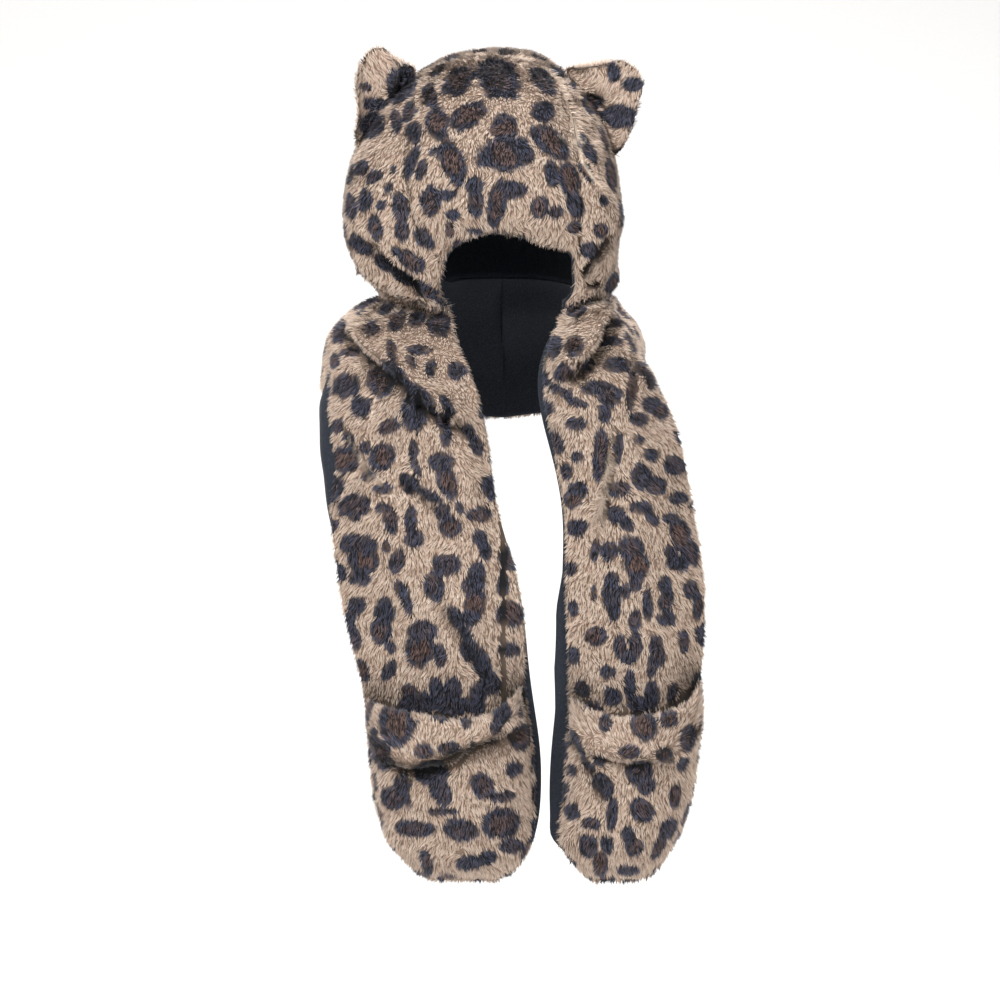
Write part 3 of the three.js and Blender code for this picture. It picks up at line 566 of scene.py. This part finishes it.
def shift_edge(name, reach, rows):
    """Moves a piece's edge to the side along a path."""
    piece = bpy.data.objects[name]
    points = points_of(piece)
    path = path_on_cloth([row[:2] for row in rows])
    gap, _, along, *_ = beside_path(points, path)
    shift = np.interp(along, path[1] / path[1][-1], [row[2] for row in rows]) * MM
    points[:, 0] += shift * np.exp(-((gap / (reach * MM)) ** 2))
    set_points(piece, points)


def seat(ear):
    """Draws an ear's foot into the hood that carries it."""
    hood = tree_of([plush["centre_panel"], plush["right_panel"], plush["left_panel"]])
    points = points_of(ear)
    for k, point in enumerate(points):
        place, _, _, gap = hood.find_nearest(Vector(point), EAR_FOOT)
        if place is not None:
            points[k] += unit(np.array(place) - point) * EAR_SEAT * (1 - gap / EAR_FOOT)
    set_points(ear, points)


def fold(points, crease):
    """Presses a crease into the cloth, and lays the cloth on one side of it over the other.
    Gives the new points, and the painted shade on each, from 0 to 1, which follows how deep
    in the crease it lies and is strong at the fold's edge."""
    width, depth, rise, raised, path = crease
    gap, side, along, normal, across = beside_path(points, path)
    fade = smooth(np.minimum(along, 1 - along) / CREASE_ENDS)
    far = gap * side * raised
    on_flap = smooth(far / FLAP_EDGE + 0.5)
    flap = on_flap * np.exp(-((far / (FLAP_REACH * width)) ** 2)) * fade
    dent = (1 - on_flap) * np.exp(-((far / width) ** 4)) * fade
    step = np.exp(-((far / STEP_SHADE) ** 2)) * fade
    lift = rise * flap - depth * dent
    lap = -raised * rise * FLAP_LAP * flap
    moved = points + normal * lift[:, None] + across * lap[:, None]
    return moved, np.maximum(dent, step) * min(1, depth / DEEPEST)


def crease_all(piece):
    """Folds a piece along every crease, and gives the painted shade they put on each of its points."""
    points = points_of(piece)
    deep = np.zeros(len(points))
    for crease in creases:
        points, dent = fold(points, crease)
        deep = np.maximum(deep, dent)
    set_points(piece, points)
    return deep


def mouth_shade(piece):
    """How much of the light a pocket takes from each point of the scarf behind its mouth."""
    points = points_of(piece)
    gaps = np.array([pockets.find_nearest(Vector(point))[3] for point in points])
    return MOUTH_SHADE * np.exp(-((gaps / MOUTH_REACH) ** 2)) * (points[:, 2] > MOUTH_FLOOR)


front = tree_of(cloth)
for row in PUSHES:
    push(cloth, row)
for row in CUFF_LIFTS:
    push([plush["right_pocket"]], row)
for row in EDGE_SHIFTS:
    shift_edge(*row)
for name in ("right_ear", "left_ear"):
    seat(plush[name])
front = tree_of(cloth)
creases = [
    (width * MM, depth * MM, rise * MM, raised, path_on_cloth(path))
    for width, depth, rise, raised, path in CREASES
]
partings = [path_on_cloth(pixels) for pixels in PARTINGS]
crease_and_mouth_shade = {piece.name: crease_all(piece) for piece in cloth}
everything = tree_of(cloth)
walls = tree_of(plush.values())
pockets = tree_of([plush["right_pocket"], plush["left_pocket"]])
scarves = tree_of([plush["right_scarf"], plush["left_scarf"]])
hood_walls = tree_of([plush["centre_panel"], plush["right_panel"], plush["left_panel"]])
# The scarf behind each pocket's mouth takes painted shadow, kept with the creases' painted shade
for name in ("right_scarf", "left_scarf"):
    crease_and_mouth_shade[name] = np.maximum(crease_and_mouth_shade[name], mouth_shade(plush[name]))
front = everything


# Where the pile grows


def carries_pile(name):
    """True for each triangle of a piece that carries pile."""
    piece = plush[name]
    if "pocket" in name:
        return in_open_air(piece, everything, COVERED) & free_triangles(piece, scarves, POCKET_DEPTH)
    middles, normals = middles_and_normals(piece)
    aside = (np.abs(middles[:, 0]) > MIDDLE_SEAM) | (unit(normals)[:, 1] > BACKWARD)
    clear = aside | ("scarf" not in name)
    clear &= free_triangles(piece, pockets, POCKET_DEPTH)
    return clear & in_open_air(piece, everything, COVERED)


def draw_in(piece, chosen):
    """Draws the open side of a wall in, to leave room for the pile on it."""
    points = points_of(piece)
    outward = outward_at(piece, chosen)
    own = tree_of([piece])
    moved = points.copy()
    for k in np.flatnonzero(np.linalg.norm(outward, axis=1) > WAY_FOUND):
        n = Vector(outward[k])
        hit = own.ray_cast(Vector(points[k]) - n * RAY_START * MM, -n, THICKEST_WALL)
        if hit[0] is not None:
            moved[k] -= outward[k] * min(DRAW_IN, MOST_DRAWN * hit[3])
    set_points(piece, moved)


open_on = {name: carries_pile(name) for name in plush}
for name, piece in plush.items():
    draw_in(piece, open_on[name])


def open_triangles(name):
    """The triangles of a piece that carry pile."""
    return triangles_of(plush[name])[open_on[name]]


def bare_share(name):
    """For each vertex of a piece, the share of its triangles that carry no pile."""
    count = len(plush[name].data.vertices)
    around = np.bincount(triangles_of(plush[name]).ravel(), minlength=count)
    covered = np.bincount(open_triangles(name).ravel(), minlength=count)
    return 1 - covered / np.maximum(around, 1)


def triangle_areas(points, triangles):
    a, b, c = (points[triangles[:, k]] for k in range(3))
    return np.linalg.norm(np.cross(b - a, c - a), axis=1) / 2


def strew(name, triangles, count, rng):
    """Random places on some of a piece's triangles, by area, with their normals, and the painted
    shade that creases and the pockets' mouths put on them."""
    points = points_of(plush[name])
    normals = vectors(plush[name].data.vertices, "normal")
    areas = triangle_areas(points, triangles)
    corners = triangles[rng.choice(len(triangles), size=count, p=areas / areas.sum())]
    u, v = rng.random((2, count))
    over = u + v > 1
    u[over], v[over] = 1 - u[over], 1 - v[over]
    share = np.stack([1 - u - v, u, v], axis=1)[:, :, None]
    deep = (crease_and_mouth_shade[name][corners] * share[:, :, 0]).sum(axis=1)
    return (points[corners] * share).sum(axis=1), unit((normals[corners] * share).sum(axis=1)), deep


# The print, with charted painted shade and the painted shade at the pile's roots


def waves(points, length, seed, count=5):
    """A smooth wobble between about -1 and 1, of the given wavelength."""
    rng = np.random.default_rng(seed)
    total = np.zeros(len(points))
    for _ in range(count):
        way = rng.normal(size=3)
        way *= 2 * math.pi / (length * rng.uniform(*WAVE_SPREAD) * np.linalg.norm(way))
        total += np.sin(points @ way + rng.uniform(0, 2 * math.pi))
    return total / math.sqrt(count)


def wobble(points, rows, more=0):
    """The sum of some waves, each with its strength, length and seed. more is added to the seed."""
    return sum(strength * waves(points, length, seed + more) for strength, length, seed in rows)


def charted_spot(px, py, tall, wide, lean=0, brown=0):
    """A spot of the chart, as a place and three scaled axes that measure from it."""
    right, up, forward = (np.array(axis) for axis in camera_axes())
    turn = math.radians(lean)
    pixel = PHOTO_SPAN / PHOTO_SIDE
    along = (up * math.cos(turn) + right * math.sin(turn)) / (tall * pixel)
    across = (right * math.cos(turn) - up * math.sin(turn)) / (wide * pixel)
    reach = (tall + wide) / 2 * pixel
    axes = np.array([along, across, forward / (SPOT_DEPTH * reach)])
    return on_front(px, py)[0], axes, reach, brown


def strewn_spot(place, normal, half, depth, rng):
    """A spot of chosen size that lies on the cloth at a place."""
    along = unit(SPOT_WAY - normal * (SPOT_WAY @ normal))
    across = np.cross(along, normal)
    turn = rng.uniform(-SPOT_TURN, SPOT_TURN)
    c, s = math.cos(turn), math.sin(turn)
    wide = half * rng.uniform(*SPOT_WIDTHS)
    lengthwise = (along * c - across * s) / half
    sideways = (across * c + along * s) / wide
    axes = np.array([lengthwise, sideways, normal / depth])
    return place, axes, (half + wide) / 2, rng.choice(SPOT_BROWNS)


def faces_camera(places, normals):
    """True for the places on the cloth that the photograph shows well."""
    eye = np.array(camera_place())
    ways = unit(places - eye)
    seen = (normals * ways).sum(axis=1) < -FACING
    for k in np.flatnonzero(seen):
        hit = everything.ray_cast(Vector(eye), Vector(ways[k]))[0]
        seen[k] = hit is None or np.linalg.norm(np.array(hit) - places[k]) < SEEN_WITHIN
    return seen


def strewn_spots(name, charted, seed):
    """Spots for the sides and the back of a piece, clear of each other and of the charted ones."""
    rng = np.random.default_rng(seed)
    triangles = open_triangles(name)
    area = triangle_areas(points_of(plush[name]), triangles).sum()
    places, normals, _ = strew(name, triangles, int(area / SPOT_TRIAL**2), rng)
    hidden = ~faces_camera(places, normals)
    if "ear" in name:
        hidden &= normals[:, 1] > EAR_BACK
    spots = list(charted)
    middles = np.array([spot[0] for spot in spots])
    reaches = np.array([spot[2] for spot in spots])
    for place, normal in zip(places[hidden], normals[hidden]):
        half = rng.uniform(*SPOT_SIZES)
        depth = half * (EAR_SPOT_DEPTH if "ear" in name else 1)
        spot = strewn_spot(place, normal, half, depth, rng)
        gaps = np.linalg.norm(middles - place, axis=1) - reaches - spot[2]
        if gaps.min() > SPOT_GAP:
            spots.append(spot)
            middles = np.vstack([middles, place])
            reaches = np.append(reaches, spot[2])
    return spots


def print_and_shade_at(points, spots):
    """How dark and how brown the print, with the charted painted shade, is at each point,
    from 0 to 1.
    """
    nearest = np.full(len(points), FAR_OFF)
    brown = np.zeros(len(points))
    low, high = points.min(axis=0), points.max(axis=0)
    edge = wobble(points, EDGE_WAVES)
    shift = wobble(points, CORE_WAVES)
    for place, axes, reach, share in spots:
        margin = SPOT_BOX * reach
        if (place < low - margin).any() or (place > high + margin).any():
            continue
        near = np.flatnonzero(np.abs(points - place).max(axis=1) < SPOT_NEAR * reach)
        r = np.linalg.norm((points[near] - place) @ axes.T, axis=1) + edge[near]
        closer = r < nearest[near]
        index = near[closer]
        nearest[index] = r[closer]
        core = np.clip((r[closer] - CORE_EDGE + shift[index]) / CORE_BLUR, 0, 1)
        brown[index] = share * (1 - core)
    return 1 - np.clip((nearest - SPOT_EDGE) / SPOT_BLUR, 0, 1), brown


def parted(points):
    """How near each point is to the line of a parting, from 0 to 1."""
    line = np.zeros(len(points))
    for path in partings:
        gap, _, along, *_ = beside_path(points, path)
        ends = np.sin(math.pi * along) ** PARTING_ENDS
        line = np.maximum(line, np.exp(-((gap / PARTING_WIDTH) ** 2)) * ends)
    return line


def root_shade(points):
    """How light the cloth between the tufts is under painted shade, and the tufts' roots too.
    It is lighter in a parting.
    """
    return ROOT_SHADE + (PARTING_SHADE - ROOT_SHADE) * parted(points)


def coat_colour(points, spots, light, mix=0, seam=1):
    """The coat's colour at points. light runs from 0 at a root to 1 at a bright tip, mix makes a
    spot browner, and seam is how much of a parting's colour shows."""
    dark, brown = print_and_shade_at(points, spots)
    brown = np.clip(brown + mix, 0, 1)[:, None]
    dark = dark[:, None]
    light = light[:, None]
    ground = TAN * (1 - light) + TAN_LIGHT * light
    spot = (SPOT_DARK * (1 - brown) + SPOT_BROWN * brown) * (SPOT_SHADES[0] + SPOT_SHADES[1] * light)
    colour = ground * (1 - dark) + spot * dark
    line = seam * parted(points)[:, None]
    return colour * (1 - line) + SEAM_LIGHT * line


# Pile

LAY_WAVES = [(0.4, 34 * MM, 20), (0.25, 12 * MM, 30)]  # strength, length and seed
HOOD_FRONT = 60 * MM  # how far back the hood's pile begins to lie forward
HOOD_TURN = 80 * MM  # and the depth over which it turns
LEAN_BACK = 0.5  # how far the hood's pile leans back, behind
LEAN_CHANGE = 1.2  # and how much less in front
LEAN_OUT = 2.5  # for each metre from the middle
EAR_LEAN = 0.6  # outward
CUFF_TURN = 14 * MM  # the pile turns from down to up over this height
# The lower edge of each cuff: distances across, and heights, in metres.
CUFF_EDGES = {
    "right_pocket": ([-0.127, -0.098, -0.031, 0.021], [-0.644, -0.675, -0.656, -0.610]),
    "left_pocket": ([0.068, 0.092, 0.130, 0.178], [-0.634, -0.648, -0.663, -0.639]),
}


def lay_way(name, points):
    """The way the pile is brushed, before it is laid on the surface."""
    way = np.zeros_like(points)
    way[:, 2] = -1
    if "panel" in name:
        forward = np.clip((HOOD_FRONT - points[:, 1]) / HOOD_TURN, 0, 1)
        way[:, 1] = LEAN_BACK - LEAN_CHANGE * forward
        way[:, 0] = LEAN_OUT * points[:, 0]
    if "ear" in name:
        above = np.array([hood_walls.find_nearest(Vector(point))[3] for point in points])
        way[:, 2] = 2 * np.clip(above / EAR_FOOT, 0, 1) - 1
        way[:, 0] = EAR_LEAN * np.sign(points[:, 0])
    if "pocket" in name:
        across, heights = CUFF_EDGES[name]
        above = points[:, 2] - np.interp(points[:, 0], across, heights)
        way[:, 2] = 2 * smooth(above / CUFF_TURN + 0.5) - 1
    for axis in range(3):
        way[:, axis] += wobble(points, LAY_WAVES, axis)
    for path in partings:
        gap, side, _, _, across = beside_path(points, path)
        push_apart = PARTING_PUSH * np.exp(-((gap / (PARTING_REACH * PARTING_WIDTH)) ** 2))
        way += across * side[:, None] * push_apart[:, None]
    return way


# Numbers that mix a cell's place into one key, and a key into a share
CELL_KEYS = np.array([73856093, 19349663, 83492791])
SEED_KEY = 2654435761
KEY_LIMIT = 1000003
KEY_STEP = 12.9898
SALT_STEP = 78.233
MIXING = 43758.5453


def hashed(key, salt):
    """A steady number from 0 to 1 for each key."""
    mixed = np.sin((key % KEY_LIMIT) * KEY_STEP + salt * SALT_STEP) * MIXING
    return mixed - np.floor(mixed)


def lock_centres(points, seed):
    """The nearest of a jittered grid of points, for each point."""
    cell = np.floor(points / LOCK_SIZE).astype(np.int64)
    best = np.full(len(points), np.inf)
    centre = np.zeros_like(points)
    for step in itertools.product((-1, 0, 1), repeat=3):
        near = cell + step
        key = near @ CELL_KEYS + seed * SEED_KEY
        place = (near + np.stack([hashed(key, k) for k in range(3)], axis=1)) * LOCK_SIZE
        gap = np.linalg.norm(points - place, axis=1)
        closer = gap < best
        best[closer], centre[closer] = gap[closer], place[closer]
    return centre


def tuft_ways(name, points, normals):
    way = lay_way(name, points)
    flat = unit(way - normals * (way * normals).sum(axis=1)[:, None])
    return flat * math.sqrt(1 - PILE_RISE**2) + normals * PILE_RISE


def trimmed(roots, tips, beyond):
    """Tips shortened towards their roots where they reach too far past the CAD walls."""
    kept = np.ones(len(tips))
    for k, tip in enumerate(tips):
        place, normal, _, gap = walls.find_nearest(Vector(tip))
        if gap > beyond[k] and (Vector(tip) - place).dot(normal) > 0:
            kept[k] = 1 - (gap - beyond[k]) / np.linalg.norm(tip - roots[k])
    return roots + (tips - roots) * np.clip(kept, SHORTEST, 1)[:, None]


def plant_pile(name, spots, seed):
    """The pile on a piece: thin tapered tufts, rooted in the cloth and laid in locks."""
    rng = np.random.default_rng(seed)
    triangles = open_triangles(name)
    area = triangle_areas(points_of(plush[name]), triangles).sum()
    count = min(MOST_TUFTS, int(area / MM**2 * PILE_PER_MM2))
    roots, normals, deep = strew(name, triangles, count, rng)
    centres = lock_centres(roots, seed)
    length = (PILE_LENGTH * rng.uniform(*LENGTHS, count) * (1 - CREASE_SHORTENS * deep))[:, None]
    ways = tuft_ways(name, roots, normals)
    own_tip = roots + ways * length + rng.normal(scale=TIP_SCATTER, size=(count, 3))
    lock_tip = centres + tuft_ways(name, centres, normals) * length
    tips = own_tip * (1 - LOCK_PULL) + lock_tip * LOCK_PULL
    tips = trimmed(roots, tips, PILE_BEYOND * rng.uniform(*BEYOND_SHARES, count))
    axis = unit(tips - roots)
    side = unit(np.cross(axis, normals))
    keel = np.cross(side, axis)
    half = PILE_WIDTH / 2 * rng.uniform(*WIDTHS, count)[:, None]
    sunk = roots - normals * ROOT_DEPTH
    corners = np.stack([sunk - side * half, sunk + side * half, sunk + keel * half, tips], axis=1)
    leans = [-side * SIDE_BEND, side * SIDE_BEND, np.zeros_like(side), axis * TIP_BEND]
    bend = np.stack([normals + lean for lean in leans], axis=1)
    tone = np.clip(rng.normal(TONE, TONE_SPREAD, count) + wobble(roots, TONE_WAVES), 0, 1)
    mix = rng.normal(scale=SPOT_MIX, size=count)
    high = coat_colour(roots * (1 - COLOUR_AT) + tips * COLOUR_AT, spots, tone, mix, TUFT_SEAM)
    # Painted shade in the creases and behind the pockets' mouths
    high *= (1 - CREASE_SHADE * deep)[:, None]
    high *= np.where(ways[:, 2] > UPRIGHT, UPRIGHT_SHADE, 1)[:, None]
    # Painted shade: each tuft is darker at its roots, a little less so at its keel
    low = high * root_shade(roots)[:, None]
    colours = np.stack([low, low, low * KEEL_LIGHT, high], axis=1)
    return tuft_mesh(name + "_pile", corners, bend, colours)


def tuft_mesh(name, corners, bend, colours):
    """One mesh of three-sided tufts, with soft normals, colours and a map with a cell each."""
    count = len(corners)
    base = np.arange(count)[:, None] * 4
    sides = np.array([[0, 2, 3], [2, 1, 3], [1, 0, 3]])
    faces = (base[:, :, None] + sides[None]).reshape(-1, 3)
    mesh = bpy.data.meshes.new(name)
    mesh.vertices.add(count * 4)
    mesh.vertices.foreach_set("co", corners.ravel())
    mesh.loops.add(len(faces) * 3)
    mesh.loops.foreach_set("vertex_index", faces.ravel())
    mesh.polygons.add(len(faces))
    mesh.polygons.foreach_set("loop_start", np.arange(len(faces)) * 3)
    mesh.update(calc_edges=True)
    mesh.shade_smooth()
    paint(mesh, colours.reshape(-1, 3))
    map_cells(mesh, count)
    mesh.normals_split_custom_set_from_vertices(unit(bend).reshape(-1, 3))
    return placed(name, mesh)


def paint(mesh, colours):
    layer = mesh.color_attributes.new("coat", "FLOAT_COLOR", "POINT")
    layer.data.foreach_set("color", np.c_[colours, np.ones(len(colours))].ravel())


# The corners of one face's third of a cell, in shares of the cell
CELL_CORNERS = [(0.03, 0.05), (0.3, 0.05), (0.165, 0.95)]


def map_cells(mesh, count):
    """Gives each tuft its own cell of the bake map, with a third of it for each face."""
    across = math.ceil(math.sqrt(count))
    cell = np.stack([np.arange(count) % across, np.arange(count) // across], axis=1)
    thirds = [[(k / 3 + x, y) for x, y in CELL_CORNERS] for k in range(3)]
    places = (cell[:, None, None] + np.array(thirds)[None]) / across
    layer = mesh.uv_layers.new(name="OFBake")
    layer.data.foreach_set("uv", places.ravel())


# Materials


def new_material(name):
    """A new material, with its node tree and its shader."""
    made = bpy.data.materials.new(name)
    made.use_nodes = True
    return made, made.node_tree, made.node_tree.nodes["Principled BSDF"]


def set_inputs(node, values):
    for name, value in values.items():
        node.inputs[name].default_value = value


def noise_in(tree, scale, detail):
    """Noise in the object's own coordinates."""
    place = tree.nodes.new("ShaderNodeTexCoord")
    noise = tree.nodes.new("ShaderNodeTexNoise")
    set_inputs(noise, {"Scale": scale, "Detail": detail})
    tree.links.new(place.outputs["Object"], noise.inputs["Vector"])
    return noise


def coat_material():
    """Plush: the painted print and painted shade, with fine streaks and a soft sheen."""
    made, tree, shader = new_material("leopard_plush")
    colour = tree.nodes.new("ShaderNodeVertexColor")
    colour.layer_name = "coat"
    streaks = noise_in(tree, 420, 3)
    level = tree.nodes.new("ShaderNodeMapRange")
    set_inputs(level, {"To Min": 0.78, "To Max": 1.22})
    tree.links.new(streaks.outputs["Fac"], level.inputs["Value"])
    shaded = tree.nodes.new("ShaderNodeVectorMath")
    shaded.operation = "SCALE"
    tree.links.new(colour.outputs["Color"], shaded.inputs[0])
    tree.links.new(level.outputs["Result"], shaded.inputs["Scale"])
    tree.links.new(shaded.outputs["Vector"], shader.inputs["Base Color"])
    set_inputs(shader, {"Roughness": 0.85, "Specular IOR Level": 0.25})
    set_inputs(shader, {"Sheen Weight": 0.12, "Sheen Roughness": 0.5})
    return made


def fleece_material():
    """Lining: short black fleece, with a fine nap and a little fluff."""
    made, tree, shader = new_material("black_fleece")
    nap = noise_in(tree, 900, 4)
    ramp = tree.nodes.new("ShaderNodeValToRGB")
    ramp.color_ramp.elements[0].position = 0.35
    ramp.color_ramp.elements[0].color = (0.009, 0.011, 0.016, 1)
    ramp.color_ramp.elements[1].position = 0.75
    ramp.color_ramp.elements[1].color = (0.026, 0.031, 0.043, 1)
    tree.links.new(nap.outputs["Fac"], ramp.inputs["Fac"])
    tree.links.new(ramp.outputs["Color"], shader.inputs["Base Color"])
    bump = tree.nodes.new("ShaderNodeBump")
    set_inputs(bump, {"Strength": 0.5, "Distance": 0.6 * MM})
    tree.links.new(nap.outputs["Fac"], bump.inputs["Height"])
    tree.links.new(bump.outputs["Normal"], shader.inputs["Normal"])
    set_inputs(shader, {"Roughness": 0.9, "Specular IOR Level": 0.2, "Sheen Weight": 0.1})
    return made


coat = coat_material()
fleece = fleece_material()
charted = [charted_spot(*row) for row in CHARTED_SPOTS_AND_SHADES]

# Each sheet as it was cut: its width and length, its area, how it is held, and what carries it.
SHEETS = {
    "centre_panel": (0.16, 0.46, 0.067, "draped", "hood_fleece"),
    "right_panel": (0.27, 0.31, 0.066, "draped", "hood_fleece"),
    "left_panel": (0.25, 0.31, 0.056, "draped", "hood_fleece"),
    "right_scarf": (0.17, 0.80, 0.128, "hung", "right_fleece"),
    "left_scarf": (0.15, 0.80, 0.106, "hung", "left_fleece"),
    "right_pocket": (0.17, 0.25, 0.037, "hung", "right_scarf"),
    "left_pocket": (0.15, 0.25, 0.033, "hung", "left_scarf"),
    "hood_fleece": (0.36, 0.60, 0.175, "draped", None),
    "right_fleece": (0.17, 0.80, 0.126, "hung", "hood_fleece"),
    "left_fleece": (0.15, 0.80, 0.103, "hung", "hood_fleece"),
}


def declare(piece):
    """Looks the piece's name up in SHEETS, and does nothing more."""
    if piece.name not in SHEETS:
        return


def paint_cloth(name, spots):
    """Paints the cloth under the pile, with painted shade in creases, behind the pockets' mouths
    and where no pile covers it.
    """
    points = points_of(plush[name])
    shade = root_shade(points) * (1 - CREASE_SHADE * crease_and_mouth_shade[name])
    shade *= BARE_SHADE ** bare_share(name)
    paint(plush[name].data, coat_colour(points, spots, np.zeros(len(points))) * shade[:, None])


def cover(piece, material):
    piece.data.materials.clear()
    piece.data.materials.append(material)


for number, (node, name) in enumerate(PLUSH.items()):
    piece = plush[name]
    spots = strewn_spots(name, charted, SPOT_SEED + number)
    paint_cloth(name, spots)
    pile = plant_pile(name, spots, PILE_SEED + number)
    for part in (piece, pile):
        cover(part, coat)
        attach(part, "root")
    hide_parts(node)
    declare(piece)

for node, name in LINING.items():
    piece = lining[name]
    cover(piece, fleece)
    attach(piece, "root")
    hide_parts(node)
    declare(piece)


# The studio

FLOOR_LEVEL = -1.2
SHEET_NEAR = -4.0  # how far the floor reaches towards the camera
SHEET_DEPTH = 3.0
SHEET_RISE = 4.0
SHEET_HALF = 5.0  # half its width
SHEET_BEND = 2.4  # the radius of the curve between floor and wall
BEND_STEPS = 12


def stage_sheet():
    """A pale floor that curves up into the backdrop."""
    mesh = bpy.data.meshes.new("backdrop")
    flat_end = SHEET_DEPTH - SHEET_BEND
    line = [(SHEET_NEAR, 0.0), (flat_end, 0.0)]
    for k in range(1, BEND_STEPS + 1):
        turn = math.pi / 2 * k / BEND_STEPS
        line.append((flat_end + SHEET_BEND * math.sin(turn), SHEET_BEND - SHEET_BEND * math.cos(turn)))
    line.append((SHEET_DEPTH, SHEET_RISE))
    verts = [(x, y, FLOOR_LEVEL + z) for y, z in line for x in (-SHEET_HALF, SHEET_HALF)]
    faces = [(2 * k, 2 * k + 1, 2 * k + 3, 2 * k + 2) for k in range(len(line) - 1)]
    mesh.from_pydata(verts, [], faces)
    mesh.shade_smooth()
    paper, _, shader = new_material("white_paper")
    set_inputs(shader, {"Base Color": (0.74, 0.73, 0.72, 1), "Roughness": 0.9})
    mesh.materials.append(paper)
    placed("backdrop", mesh)


def area_light(name, place, aim, size, watts):
    light = bpy.data.lights.new(name, "AREA")
    light.shape = "SQUARE"
    light.size = size
    light.energy = watts
    holder = placed(name, light)
    holder.location = place
    holder.rotation_euler = (Vector(aim) - Vector(place)).to_track_quat("-Z", "Y").to_euler()


def studio():
    stage_sheet()
    world = bpy.data.worlds.new("studio")
    world.use_nodes = True
    set_inputs(world.node_tree.nodes["Background"], {"Color": (1, 1, 1, 1), "Strength": 0.68})
    bpy.context.scene.world = world
    middle = (0, 0, -0.35)
    area_light("key", (-1.4, -2.2, 1.3), middle, 1.2, 95)
    area_light("fill", (1.8, -2.0, 0.6), middle, 1.6, 36)
    area_light("top", (0.2, 0.8, 1.7), middle, 1.4, 60)
    bpy.context.scene.view_settings.view_transform = "Standard"


def photo_camera():
    right, up, forward = camera_axes()
    data = bpy.data.cameras.new("photo_view")
    data.sensor_width = SENSOR
    data.lens = SENSOR * CAMERA_DISTANCE / PHOTO_SPAN
    data.clip_end = 50
    camera = placed("photo_view", data)
    turn = Matrix((right, up, -forward)).transposed()
    camera.matrix_world = Matrix.Translation(camera_place()) @ turn.to_4x4()
    bpy.context.scene.camera = camera


studio()
photo_camera()
